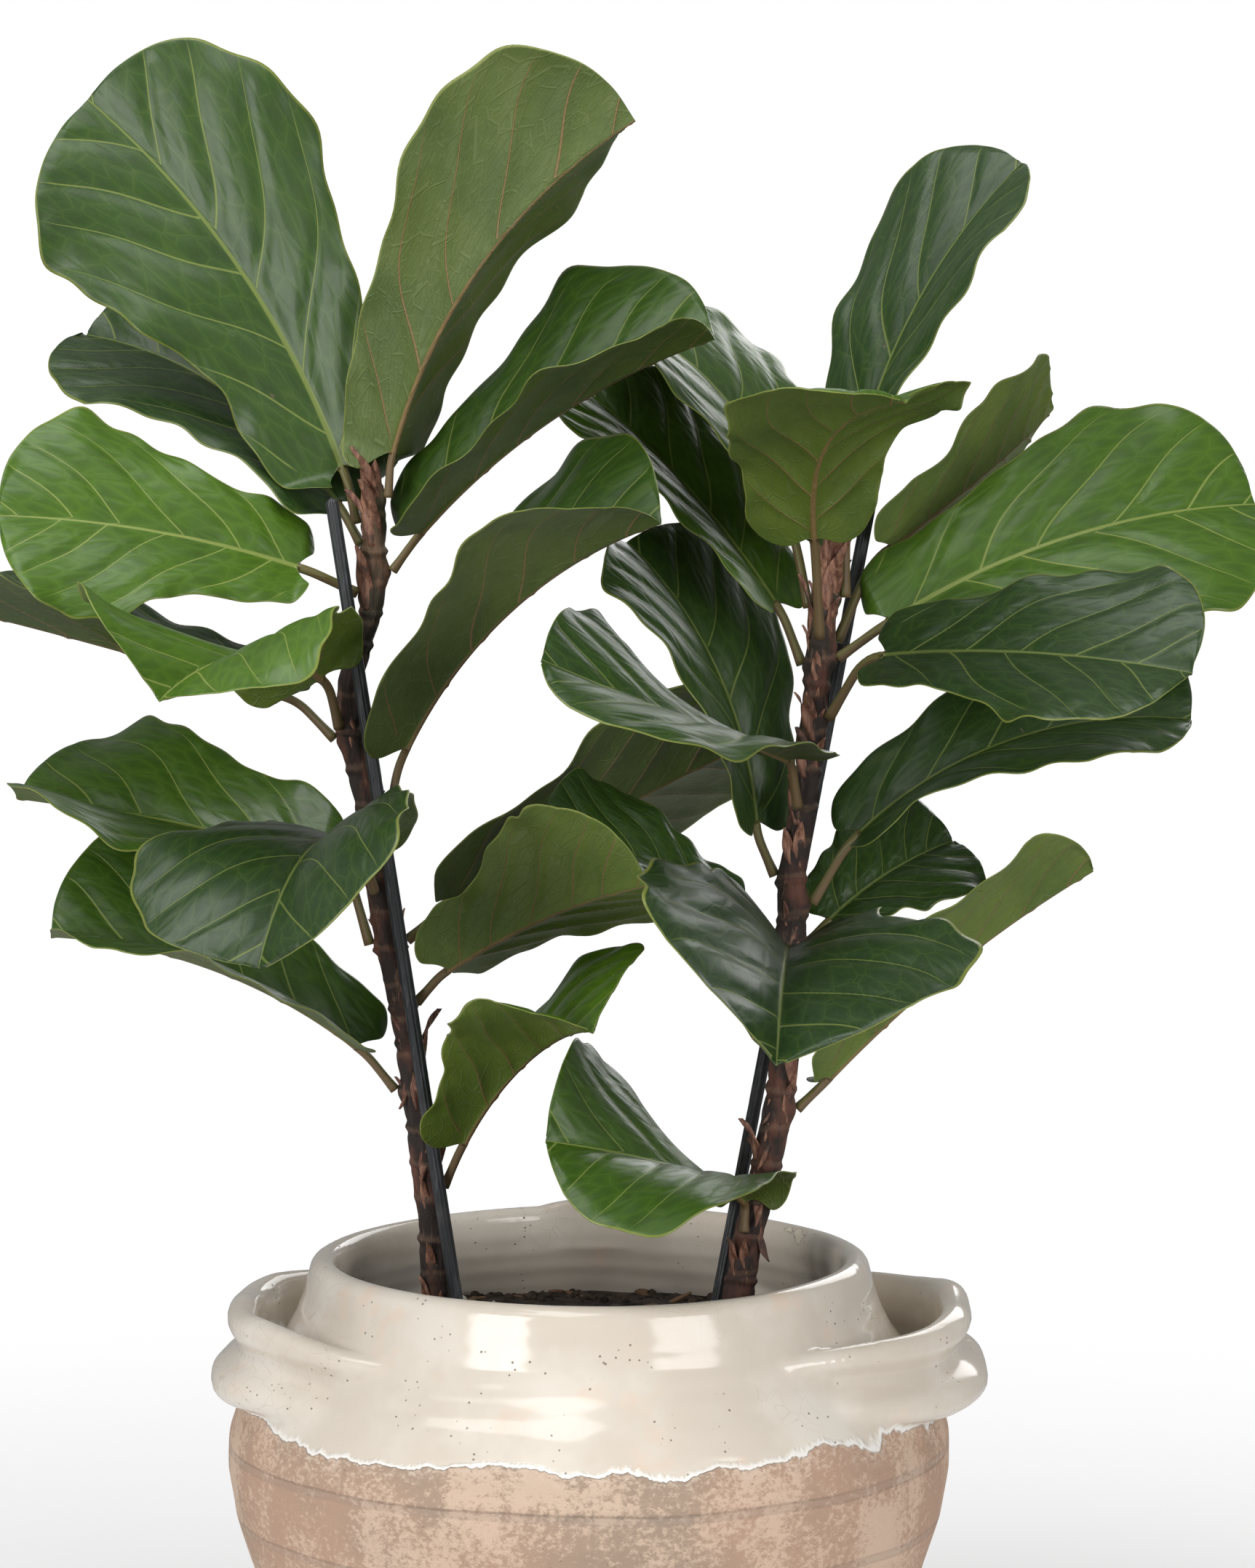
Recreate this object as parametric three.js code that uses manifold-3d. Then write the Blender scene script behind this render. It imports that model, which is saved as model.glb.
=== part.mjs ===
// A fiddle leaf fig: two staked stems growing in a glazed terracotta pot with strap handles.
// Millimetres, +Z up, the front towards -Y, and the origin in the middle of the pot's foot.
import * as THREE from "three";
import { mergeVertices } from "three/addons/utils/BufferGeometryUtils.js";
import Module from "manifold-3d";

const wasm = await Module();
wasm.setup();

// Gap between pieces that touch or pass through each other.
const clearance = 0.4;

// Pot.
const potHeight = 336;
const footRadius = 128;
const bellyRadius = 210;
const bellyDrop = 112;
const neckRadius = 165;
const neckDrop = 16;
const mouthRadius = 147;
const lipWidth = 15;
const potWall = 14;
const potFloor = 18;
const potSides = 40;

// Strap handles, one on each side of the neck.
const handleHeight = 56;
const handleThickness = 14;
const handleBacking = 24;
const handleDrop = 24;
const handleEndDrop = 5;
const handleFlare = 24;
const handleSpread = 54;
const leftHandleReach = 218;
const rightHandleReach = 231;

// Pouring lip behind the mouth.
const spoutWidth = 88;
const spoutReach = 27;
const spoutHeight = 26;
const spoutRise = 4;

// Soil.
const soilDrop = 52;

// Stems: each lean list gives the stem's x and y at equal steps from the soil to its top.
const stemBuried = 75;
const stemSides = 8;
const stemRingStep = 21;
const stemRingBulge = 0.9;
const leftStem = {
  name: "left_stem",
  length: 498,
  baseRadius: 9.5,
  topRadius: 6.5,
  budLength: 14,
  lean: [[-88, 0], [-91, 1], [-98, 2], [-107, 2], [-119, 1], [-128, 0], [-139, 0], [-124, 0], [-124, 0]],
};
const rightStem = {
  name: "right_stem",
  length: 438,
  baseRadius: 9.5,
  topRadius: 7.5,
  budLength: 34,
  lean: [[84, 0], [91, -1], [104, -2], [113, -2], [116, -1], [118, 0], [126, 0], [131, 0], [136, 0]],
};

// Stakes: the foot is where each one goes into the soil.
const stakeRadius = 4;
const stakeBuried = 110;
const stakeSides = 10;
const leftStake = { name: "left_stake", length: 491, foot: [-73, -15], top: [-147, -17] };
const rightStake = { name: "right_stake", length: 572, foot: [71, 15], top: [179, 34] };

// Leaves.
const petioleRadius = 3;
const petioleRows = 3;
const leafThickness = 1.4;
const midribThickness = 3.2;
const edgeCurl = -18;
const edgeWave = 5;

// Rows of the flat blade from base to tip, as shares of its length and of its half width:
// where the row starts on the midrib, where it ends on the margin, and how wide it is there.
const bladeRows = [
  [0.00, 0.00, 0.05],
  [0.02, -0.045, 0.23],
  [0.07, 0.00, 0.43],
  [0.15, 0.12, 0.52],
  [0.28, 0.28, 0.57],
  [0.42, 0.45, 0.74],
  [0.56, 0.62, 0.95],
  [0.70, 0.76, 1.00],
  [0.82, 0.88, 0.87],
  [0.91, 0.96, 0.60],
  [0.97, 0.995, 0.30],
  [1.00, 1.00, 0.05],
];

// Each leaf grows at a share of its stem's length. Heading is 0 to the right, 90 to the back and
// 180 to the left. Lift is the petiole's rise, rise the blade's at its base and droop what it
// loses by the tip; swing turns the heading along the leaf. Roll turns the upper face towards the
// right-hand side of the heading and twist adds to it by the tip. Fold raises the two halves and
// cup adds to it by the tip.
const leaves = [
  { name: "left_leaf_1", stem: leftStem, at: 0.955, heading: 160, swing: 12, petiole: 34,
    lift: 76, rise: 68, droop: 28, roll: -72, twist: 0, fold: 16, cup: 0,
    length: 264, width: 172 },
  { name: "left_leaf_2", stem: leftStem, at: 0.985, heading: 330, swing: 26, petiole: 26,
    lift: 86, rise: 72, droop: 40, roll: -40, twist: 0, fold: 48, cup: 0,
    length: 240, width: 160 },
  { name: "left_leaf_3", stem: leftStem, at: 0.93, heading: 146, swing: 4, petiole: 30,
    lift: 56, rise: 48, droop: 40, roll: -32, twist: 0, fold: 20, cup: 0,
    length: 212, width: 148 },
  { name: "left_leaf_4", stem: leftStem, at: 0.875, heading: 192, swing: 0, petiole: 38,
    lift: 25, rise: 18, droop: 16, roll: -56, twist: 0, fold: 14, cup: 0,
    length: 172, width: 136 },
  { name: "left_leaf_5", stem: leftStem, at: 0.72, heading: 240, swing: 0, petiole: 36,
    lift: 68, rise: 24, droop: 52, roll: 42, twist: -72, fold: 14, cup: 22,
    length: 160, width: 172 },
  { name: "left_leaf_6", stem: leftStem, at: 0.705, heading: 168, swing: 0, petiole: 40,
    lift: 45, rise: 16, droop: 4, roll: 0, twist: 0, fold: 36, cup: 0,
    length: 212, width: 130 },
  { name: "left_leaf_7", stem: leftStem, at: 0.9, heading: 352, swing: 0, petiole: 28,
    lift: 54, rise: 48, droop: 30, roll: 22, twist: 0, fold: 42, cup: 0,
    length: 204, width: 158 },
  { name: "left_leaf_8", stem: leftStem, at: 0.605, heading: 331, swing: 0, petiole: 48,
    lift: 78, rise: 60, droop: 44, roll: 18, twist: 4, fold: 42, cup: 4,
    length: 216, width: 160 },
  { name: "left_leaf_9", stem: leftStem, at: 0.465, heading: 169, swing: 0, petiole: 62,
    lift: 74, rise: 14, droop: 8, roll: -58, twist: 54, fold: 30, cup: 0,
    length: 186, width: 150 },
  { name: "left_leaf_10", stem: leftStem, at: 0.53, heading: 257, swing: 0, petiole: 34,
    lift: 48, rise: 25, droop: 75, roll: 12, twist: 0, fold: 28, cup: 0,
    length: 210, width: 170 },
  { name: "left_leaf_11", stem: leftStem, at: 0.295, heading: 184, swing: 0, petiole: 34,
    lift: 52, rise: 38, droop: 35, roll: -24, twist: 0, fold: 38, cup: 0,
    length: 190, width: 148 },
  { name: "left_leaf_12", stem: leftStem, at: 0.47, heading: 18, swing: 0, petiole: 34,
    lift: 38, rise: 30, droop: 8, roll: -50, twist: 0, fold: 18, cup: 0,
    length: 212, width: 140 },
  { name: "left_leaf_13", stem: leftStem, at: 0.4, heading: 327, swing: -20, petiole: 30,
    lift: 45, rise: 31, droop: 20, roll: -35, twist: 0, fold: 30, cup: 0,
    length: 168, width: 134 },
  { name: "left_leaf_14", stem: leftStem, at: 0.184, heading: 322, swing: -34, petiole: 31,
    lift: 62, rise: 57, droop: 54, roll: 14, twist: 4, fold: 41, cup: 0,
    length: 165, width: 137 },
  { name: "right_leaf_1", stem: rightStem, at: 0.151, heading: 252, swing: -53, petiole: 20,
    lift: 101, rise: 25, droop: 14, roll: 11, twist: -66, fold: 22, cup: 0,
    length: 174, width: 150 },
  { name: "right_leaf_2", stem: rightStem, at: 0.52, heading: 266, swing: 0, petiole: 30,
    lift: 15, rise: 6, droop: 36, roll: -14, twist: 0, fold: 42, cup: 0,
    length: 195, width: 222 },
  { name: "right_leaf_3", stem: rightStem, at: 0.31, heading: 14, swing: 0, petiole: 26,
    lift: 42, rise: 44, droop: 16, roll: -30, twist: 0, fold: 28, cup: 0,
    length: 200, width: 118 },
  { name: "right_leaf_4", stem: rightStem, at: 0.53, heading: 30, swing: 0, petiole: 20,
    lift: 40, rise: 38, droop: 24, roll: 35, twist: 0, fold: 22, cup: 0,
    length: 96, width: 112 },
  { name: "right_leaf_5", stem: rightStem, at: 0.585, heading: 356, swing: 0, petiole: 50,
    lift: 60, rise: 44, droop: 50, roll: 34, twist: 0, fold: 28, cup: 0,
    length: 206, width: 136 },
  { name: "right_leaf_6", stem: rightStem, at: 0.831, heading: 318, swing: 7, petiole: 58,
    lift: 54, rise: 6, droop: 14, roll: 47, twist: -8, fold: 19, cup: 0,
    length: 202, width: 130 },
  { name: "right_leaf_7", stem: rightStem, at: 0.909, heading: 355, swing: 23, petiole: 37,
    lift: 36, rise: 33, droop: 32, roll: 58, twist: -6, fold: 13, cup: 0,
    length: 228, width: 157 },
  { name: "right_leaf_8", stem: rightStem, at: 0.93, heading: 32, swing: 34, petiole: 67,
    lift: 63, rise: 32, droop: 11, roll: -66, twist: 0, fold: 19, cup: 0,
    length: 181, width: 104 },
  { name: "right_leaf_9", stem: rightStem, at: 0.937, heading: 261, swing: 52, petiole: 65,
    lift: 67, rise: 54, droop: 51, roll: 7, twist: -5, fold: 15, cup: 0,
    length: 163, width: 146 },
  { name: "right_leaf_10", stem: rightStem, at: 0.989, heading: 4, swing: -2, petiole: 43,
    lift: 90, rise: 83, droop: 38, roll: 26, twist: 0, fold: 22, cup: 0,
    length: 232, width: 136 },
  { name: "right_leaf_11", stem: rightStem, at: 0.975, heading: 140, swing: 0, petiole: 44,
    lift: 76, rise: 70, droop: 60, roll: 0, twist: 0, fold: 16, cup: 0,
    length: 208, width: 156 },
  { name: "right_leaf_12", stem: rightStem, at: 0.9, heading: 146, swing: 0, petiole: 40,
    lift: 66, rise: 52, droop: 20, roll: -12, twist: 0, fold: 22, cup: 0,
    length: 190, width: 120 },
  { name: "right_leaf_13", stem: rightStem, at: 0.715, heading: 250, swing: -55, petiole: 38,
    lift: 66, rise: 12, droop: -12, roll: -5, twist: -30, fold: 16, cup: 0,
    length: 205, width: 150 },
  { name: "right_leaf_14", stem: rightStem, at: 0.62, heading: 152, swing: 0, petiole: 34,
    lift: 64, rise: 84, droop: 44, roll: -12, twist: 0, fold: 22, cup: 0,
    length: 186, width: 135 },
  { name: "right_leaf_15", stem: rightStem, at: 0.545, heading: 190, swing: 0, petiole: 28,
    lift: 35, rise: 30, droop: 10, roll: -28, twist: 0, fold: 26, cup: 0,
    length: 122, width: 100 },
];

const crest = potHeight;
const soilTop = crest - soilDrop;
const radians = THREE.MathUtils.degToRad;

// Booleans: a closed geometry becomes a solid and comes back as a plain geometry.

function solid(geometry) {
  const bare = geometry.clone();
  bare.deleteAttribute("normal");
  bare.deleteAttribute("uv");
  const merged = mergeVertices(bare, 1e-4);
  const vertProperties = new Float32Array(merged.attributes.position.array);
  const triVerts = new Uint32Array(merged.index.array);
  return new wasm.Manifold(new wasm.Mesh({ numProp: 3, vertProperties, triVerts }));
}

function geometryOf(manifold) {
  const mesh = manifold.getMesh();
  const geometry = new THREE.BufferGeometry();
  geometry.setAttribute("position", new THREE.BufferAttribute(new Float32Array(mesh.vertProperties), 3));
  geometry.setIndex(new THREE.BufferAttribute(new Uint32Array(mesh.triVerts), 1));
  geometry.computeVertexNormals();
  return geometry;
}

// Turns a profile of radius and height, which starts and ends on the axis, into a closed solid.
function turned(points, sides) {
  const geometry = new THREE.LatheGeometry(points, sides);
  geometry.rotateX(Math.PI / 2);
  return solid(geometry);
}

// Pot. Both walls share one curve, which the inset moves inwards.

function wallCurve(inset) {
  const path = new THREE.Path();
  const bellyZ = crest - bellyDrop;
  const neckZ = crest - neckDrop;
  path.moveTo(footRadius - inset, inset > 0 ? potFloor : 0);
  path.bezierCurveTo(
    footRadius + 38 - inset, bellyZ * 0.45,
    bellyRadius - inset, bellyZ * 0.62,
    bellyRadius - inset, bellyZ,
  );
  path.bezierCurveTo(
    bellyRadius - inset, bellyZ + bellyDrop * 0.3,
    neckRadius + 6 - inset, neckZ - neckDrop * 2,
    neckRadius - inset, neckZ,
  );
  return path.getPoints(9);
}

function lipCurve() {
  const path = new THREE.Path();
  const half = lipWidth / 2;
  path.moveTo(mouthRadius + lipWidth, crest - half);
  path.absarc(mouthRadius + half, crest - half, half, 0, Math.PI, false);
  return path.getPoints(8);
}

const lip = lipCurve();
const innerWall = wallCurve(potWall);

const potProfile = [
  new THREE.Vector2(0, 0),
  ...wallCurve(0),
  ...lip,
  ...innerWall.slice().reverse(),
  new THREE.Vector2(0, potFloor),
];

// The space inside the pot, shrunk by a gap and open above the mouth.
function hollowProfile(gap) {
  const top = crest + spoutHeight;
  const wall = innerWall.map((point) => new THREE.Vector2(point.x - gap, Math.max(point.y, potFloor + gap)));
  return [
    new THREE.Vector2(0, potFloor + gap),
    ...wall,
    new THREE.Vector2(mouthRadius - gap, crest - lipWidth / 2),
    new THREE.Vector2(mouthRadius - gap, top),
    new THREE.Vector2(0, top),
  ];
}

// A strap bent round the neck and flared outwards. Its outer face has two beads and a flute. Its
// back runs into the shoulder half way down, with a groove above and below for the fingers.
function handle(reach, side) {
  const half = handleHeight / 2;
  const thick = handleThickness / 2;
  const section = new THREE.Shape();
  section.moveTo(-half, -thick + 3);
  section.quadraticCurveTo(-half, thick, -half + 7, thick);
  section.quadraticCurveTo(0, thick - 6, half - 7, thick - 1);
  section.quadraticCurveTo(half, thick - 1, half, -1);
  section.quadraticCurveTo(half, -thick, half - 6, -thick);
  section.quadraticCurveTo(4, -thick - 2 * handleBacking, -half + 9, -thick);
  section.quadraticCurveTo(-half + 3, -thick, -half, -thick + 3);
  const endAngle = radians(handleSpread);
  const endRadius = neckRadius + 2;
  const endX = endRadius * Math.cos(endAngle);
  const endY = endRadius * Math.sin(endAngle);
  const midX = reach - thick - handleFlare / 2;
  const centreZ = crest - handleDrop - half;
  const points = [];
  const steps = 12;
  for (let i = 0; i <= steps; i += 1) {
    const turn = -1 + (2 * i) / steps;
    const fall = handleEndDrop * turn ** 2;
    const x = endX + (midX - endX) * (1 - Math.abs(turn) ** 2.2);
    points.push(new THREE.Vector3(x, endY * turn, centreZ - fall));
  }
  const path = new THREE.CatmullRomCurve3(points);
  const strap = new THREE.ExtrudeGeometry(section, { steps: 14, curveSegments: 3, extrudePath: path });
  const position = strap.attributes.position;
  for (let i = 0; i < position.count; i += 1) {
    const flare = (handleFlare * (centreZ - position.getZ(i))) / handleHeight;
    const grow = 1 + flare / Math.hypot(position.getX(i), position.getY(i));
    position.setX(i, side * grow * position.getX(i));
    position.setY(i, side * grow * position.getY(i));
  }
  return solid(strap);
}

function spout() {
  const bump = new THREE.SphereGeometry(0.5, 16, 10);
  bump.scale(spoutWidth, 2 * (spoutReach + lipWidth), spoutHeight);
  bump.translate(0, mouthRadius, crest - spoutHeight / 2 + spoutRise);
  return solid(bump);
}

function potGeometry() {
  const body = turned(potProfile, potSides)
    .add(handle(leftHandleReach, -1))
    .add(handle(rightHandleReach, 1))
    .add(spout());
  return geometryOf(body.subtract(turned(hollowProfile(0), potSides)));
}

// Stems.

function spineOf(stem) {
  return new THREE.SplineCurve(stem.lean.map((point) => new THREE.Vector2(point[0], point[1])));
}

function stemCentre(stem, share) {
  const centre = spineOf(stem).getPoint(THREE.MathUtils.clamp(share, 0, 1));
  return new THREE.Vector3(centre.x, centre.y, soilTop + share * stem.length);
}

function stemRadius(stem, share) {
  return THREE.MathUtils.lerp(stem.baseRadius, stem.topRadius, THREE.MathUtils.clamp(share, 0, 1));
}

// A stem is turned straight, with a ring at every node, and then leans along its spine.
function stemGeometry(stem, gap) {
  const profile = [new THREE.Vector2(0, soilTop - stemBuried - gap)];
  profile.push(new THREE.Vector2(stem.baseRadius * 0.6 + gap, soilTop - stemBuried - gap));
  profile.push(new THREE.Vector2(stem.baseRadius + gap, soilTop - stemBuried + 12));
  const rings = Math.round(stem.length / stemRingStep);
  for (let i = 0; i <= rings; i += 1) {
    const share = i / rings;
    const bulge = i % 2 === 1 ? stemRingBulge : 0;
    profile.push(new THREE.Vector2(stemRadius(stem, share) + bulge + gap, soilTop + share * stem.length));
  }
  const top = soilTop + stem.length;
  profile.push(new THREE.Vector2(stem.topRadius * 0.8 + gap, top + stem.budLength * 0.4));
  profile.push(new THREE.Vector2(0, top + stem.budLength + gap));
  const geometry = new THREE.LatheGeometry(profile, stemSides);
  geometry.rotateX(Math.PI / 2);
  const position = geometry.attributes.position;
  for (let i = 0; i < position.count; i += 1) {
    const share = (position.getZ(i) - soilTop) / stem.length;
    const centre = stemCentre(stem, share);
    position.setX(i, position.getX(i) + centre.x);
    position.setY(i, position.getY(i) + centre.y);
  }
  return geometry;
}

// Stakes.

function stakeGeometry(stake, gap) {
  const foot = new THREE.Vector3(stake.foot[0], stake.foot[1], soilTop);
  const top = new THREE.Vector3(stake.top[0], stake.top[1], soilTop + stake.length);
  const direction = top.clone().sub(foot).normalize();
  const start = foot.clone().addScaledVector(direction, -stakeBuried - gap);
  const path = new THREE.LineCurve3(start, top);
  const section = new THREE.Shape();
  section.absarc(0, 0, stakeRadius + gap, 0, 2 * Math.PI, false);
  const curveSegments = Math.round(stakeSides / 2);
  return new THREE.ExtrudeGeometry(section, { steps: 1, curveSegments, extrudePath: path, bevelEnabled: false });
}

// Soil: it fills the pot up to its level and leaves a hole for each stem and stake.
function soilGeometry() {
  const level = new THREE.CylinderGeometry(bellyRadius, bellyRadius, soilTop, potSides);
  level.rotateX(Math.PI / 2);
  level.translate(0, 0, soilTop / 2);
  let fill = turned(hollowProfile(clearance), potSides).intersect(solid(level));
  for (const stem of [leftStem, rightStem]) {
    fill = fill.subtract(solid(stemGeometry(stem, clearance)));
  }
  for (const stake of [leftStake, rightStake]) {
    fill = fill.subtract(solid(stakeGeometry(stake, clearance)));
  }
  return geometryOf(fill);
}

// Leaves.

// The frame of a leaf at a distance from the stem: its point on the midrib, its direction, the
// way its upper face looks and its right-hand side.
function leafSpine(leaf) {
  const total = leaf.petiole + leaf.length;
  const steps = 48;
  const radius = stemRadius(leaf.stem, leaf.at) + stemRingBulge;
  const frames = [];
  const point = stemCentre(leaf.stem, leaf.at);
  const start = radius + clearance + petioleRadius * Math.abs(Math.sin(radians(leaf.lift)));
  const facing = radians(leaf.heading);
  point.x += start * Math.cos(facing);
  point.y += start * Math.sin(facing);
  for (let i = 0; i <= steps; i += 1) {
    const reach = (total * i) / steps;
    const along = THREE.MathUtils.clamp((reach - leaf.petiole) / leaf.length, 0, 1);
    const grown = THREE.MathUtils.smoothstep(reach, leaf.petiole * 0.45, leaf.petiole);
    const rise = radians(THREE.MathUtils.lerp(leaf.lift, leaf.rise, grown) - leaf.droop * along);
    const heading = radians(leaf.heading + leaf.swing * along);
    const roll = radians((leaf.roll + leaf.twist * along) * grown);
    const forward = new THREE.Vector3(
      Math.cos(rise) * Math.cos(heading),
      Math.cos(rise) * Math.sin(heading),
      Math.sin(rise),
    );
    const level = new THREE.Vector3(Math.sin(heading), -Math.cos(heading), 0);
    const above = new THREE.Vector3().crossVectors(level, forward);
    const up = above.clone().multiplyScalar(Math.cos(roll)).addScaledVector(level, Math.sin(roll));
    const side = level.clone().multiplyScalar(Math.cos(roll)).addScaledVector(above, -Math.sin(roll));
    frames.push({ point: point.clone(), forward, up, side });
    point.addScaledVector(forward, total / steps);
  }
  return { frames, step: total / steps };
}

function frameAt(spine, reach) {
  const last = spine.frames.length - 1;
  const place = THREE.MathUtils.clamp(reach / spine.step, 0, last);
  const index = Math.min(Math.floor(place), last - 1);
  const share = place - index;
  const a = spine.frames[index];
  const b = spine.frames[index + 1];
  return {
    point: a.point.clone().lerp(b.point, share),
    up: a.up.clone().lerp(b.up, share).normalize(),
    side: a.side.clone().lerp(b.side, share).normalize(),
  };
}

// Where a point of the flat leaf lies once it is folded and curled: reach is its distance from
// the stem along the leaf, across its signed distance from the midrib, and lift its height
// above the middle of the blade's thickness.
function leafPoint(leaf, spine, reach, across, lift) {
  const frame = frameAt(spine, reach);
  const half = leaf.width / 2;
  const along = THREE.MathUtils.clamp((reach - leaf.petiole) / leaf.length, 0, 1);
  const fold = radians(leaf.fold + leaf.cup * along);
  const curl = radians(edgeCurl);
  const q = Math.abs(across) / half;
  const angle = fold + curl * q;
  const out = (half / curl) * (Math.sin(angle) - Math.sin(fold));
  const high = (-half / curl) * (Math.cos(angle) - Math.cos(fold));
  const hand = Math.sign(across);
  const wave = edgeWave * q * q * Math.sin(along * 4 * Math.PI + hand + leaf.heading);
  const point = frame.point.clone();
  point.addScaledVector(frame.side, hand * out - hand * lift * Math.sin(angle) * q ** 0.2);
  point.addScaledVector(frame.up, high + wave + lift * Math.cos(angle));
  return point;
}

// Gives the block's under side the same diagonals as its upper side, so that a twisted leaf keeps
// its thickness in the middle of each square.
function matchDiagonals(geometry) {
  const under = geometry.groups[5];
  const index = geometry.index;
  for (let i = under.start; i < under.start + under.count; i += 6) {
    const a = index.getX(i);
    const b = index.getX(i + 1);
    const c = index.getX(i + 4);
    const d = index.getX(i + 2);
    [a, b, c, a, c, d].forEach((corner, k) => index.setX(i + k, corner));
  }
}

// A leaf is a block with rows for its petiole and its blade, moved into the leaf's shape.
function leafGeometry(leaf) {
  const spine = leafSpine(leaf);
  const rows = petioleRows + bladeRows.length - 1;
  const geometry = new THREE.BoxGeometry(2, rows, 2, 4, rows, 1);
  const position = geometry.attributes.position;
  for (let i = 0; i < position.count; i += 1) {
    const v = position.getX(i);
    const row = Math.round(position.getY(i) + rows / 2);
    const face = position.getZ(i);
    let reach = (leaf.petiole * row) / petioleRows;
    let across = v * petioleRadius;
    let lift = petioleRadius * (1 - 0.7 * Math.abs(v) ** 2);
    if (row >= petioleRows) {
      const [onMidrib, onMargin, wide] = bladeRows[row - petioleRows];
      const along = THREE.MathUtils.lerp(onMidrib, onMargin, Math.abs(v));
      reach = leaf.petiole + leaf.length * along;
      across = v * wide * (leaf.width / 2);
      const rib = THREE.MathUtils.lerp(midribThickness, leafThickness, onMidrib) / 2;
      lift = v === 0 ? rib : leafThickness / 2;
    }
    const point = leafPoint(leaf, spine, reach, across, face * lift);
    position.setXYZ(i, point.x, point.y, point.z);
  }
  matchDiagonals(geometry);
  return geometry;
}

// Materials.

const glaze = new THREE.MeshStandardMaterial({ color: 0xd6cbbc, roughness: 0.25, metalness: 0 });
const earth = new THREE.MeshStandardMaterial({ color: 0x2e231b, roughness: 0.95, metalness: 0 });
const bark = new THREE.MeshStandardMaterial({ color: 0x6e4a36, roughness: 0.8, metalness: 0 });
const stakeGrey = new THREE.MeshStandardMaterial({ color: 0x3a3b3c, roughness: 0.5, metalness: 0 });
const leafGreen = new THREE.MeshStandardMaterial({ color: 0x3f5a22, roughness: 0.4, metalness: 0 });

const plant = new THREE.Group();

function addNode(name, geometry, material) {
  const mesh = new THREE.Mesh(geometry, material);
  mesh.name = name;
  plant.add(mesh);
}

addNode("pot", potGeometry(), glaze);
addNode("soil", soilGeometry(), earth);
for (const stem of [leftStem, rightStem]) {
  addNode(stem.name, stemGeometry(stem, 0), bark);
}
for (const stake of [leftStake, rightStake]) {
  addNode(stake.name, stakeGeometry(stake, 0), stakeGrey);
}
// A leaf gives way where it passes a stake.
const stakeRoom = [leftStake, rightStake].map((stake) => solid(stakeGeometry(stake, clearance)));
for (const leaf of leaves) {
  const free = stakeRoom.reduce((rest, room) => rest.subtract(room), solid(leafGeometry(leaf)));
  addNode(leaf.name, geometryOf(free), leafGreen);
}

export default plant;
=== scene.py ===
# A fiddle leaf fig in its glazed pot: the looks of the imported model.
# Metres, +Z up, the front towards -Y. Sizes in the dictionaries are millimetres, as in the model.
import math
import random

import bpy
import numpy as np
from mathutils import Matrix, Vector


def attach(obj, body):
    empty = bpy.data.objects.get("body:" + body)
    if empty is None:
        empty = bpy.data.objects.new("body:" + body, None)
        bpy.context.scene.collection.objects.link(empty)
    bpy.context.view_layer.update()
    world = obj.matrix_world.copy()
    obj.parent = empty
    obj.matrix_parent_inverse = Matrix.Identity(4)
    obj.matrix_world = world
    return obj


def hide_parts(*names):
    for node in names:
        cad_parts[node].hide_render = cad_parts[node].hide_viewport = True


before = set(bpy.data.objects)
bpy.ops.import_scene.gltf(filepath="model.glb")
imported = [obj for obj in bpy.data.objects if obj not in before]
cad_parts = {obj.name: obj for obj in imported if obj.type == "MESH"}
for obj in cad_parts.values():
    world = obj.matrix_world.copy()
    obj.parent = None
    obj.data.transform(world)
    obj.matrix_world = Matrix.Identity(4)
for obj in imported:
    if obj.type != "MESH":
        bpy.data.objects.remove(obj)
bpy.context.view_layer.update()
random.seed(4)
print("loaded", len(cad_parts), "nodes")

mm = 0.001


# small helpers

def deselectAll():
    active = bpy.context.view_layer.objects.active
    if active and active.mode != "OBJECT":
        bpy.ops.object.mode_set(mode="OBJECT")
    bpy.ops.object.select_all(action="DESELECT")


def pick(piece):
    deselectAll()
    piece.select_set(True)
    bpy.context.view_layer.objects.active = piece


def applyModifiers(piece):
    pick(piece)
    for modifier in list(piece.modifiers):
        bpy.ops.object.modifier_apply(modifier=modifier.name)


def readPoints(piece):
    flat = np.empty(len(piece.data.vertices) * 3)
    piece.data.vertices.foreach_get("co", flat)
    return flat.reshape(-1, 3)


def writePoints(piece, points):
    piece.data.vertices.foreach_set("co", np.ascontiguousarray(points).ravel())
    piece.data.update()


def writeAttribute(piece, name, kind, values):
    attribute = piece.data.attributes.new(name, kind, "POINT")
    field = "vector" if kind == "FLOAT_VECTOR" else "value"
    attribute.data.foreach_set(field, np.ascontiguousarray(values).ravel())


def cleanMesh(piece, gap=0.00002):  # merges doubled points and turns every face outwards
    pick(piece)
    bpy.ops.object.mode_set(mode="EDIT")
    bpy.ops.mesh.select_all(action="SELECT")
    bpy.ops.mesh.remove_doubles(threshold=gap)
    bpy.ops.mesh.normals_make_consistent(inside=False)
    bpy.ops.object.mode_set(mode="OBJECT")


def addObject(name, data):
    made = bpy.data.objects.new(name, data)
    bpy.context.collection.objects.link(made)
    return made


def gridOf(columns, rows, name):  # reaches from -1 to 1 both ways
    deselectAll()
    bpy.ops.mesh.primitive_grid_add(x_subdivisions=columns, y_subdivisions=rows, size=2)
    piece = bpy.context.object
    piece.name = name
    piece.data.name = name
    return piece


def copyOf(piece, name):
    twin = piece.copy()
    twin.data = piece.data.copy()
    twin.name = name
    twin.data.name = name
    bpy.context.collection.objects.link(twin)
    return twin


def throwAway(piece):
    bpy.data.objects.remove(piece, do_unlink=True)


def joinInto(target, others):
    pick(target)
    for other in others:
        other.select_set(True)
    bpy.ops.object.join()
    return target


def giveMaterials(piece, *materials):
    piece.data.materials.clear()
    for material in materials:
        piece.data.materials.append(material)


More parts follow.
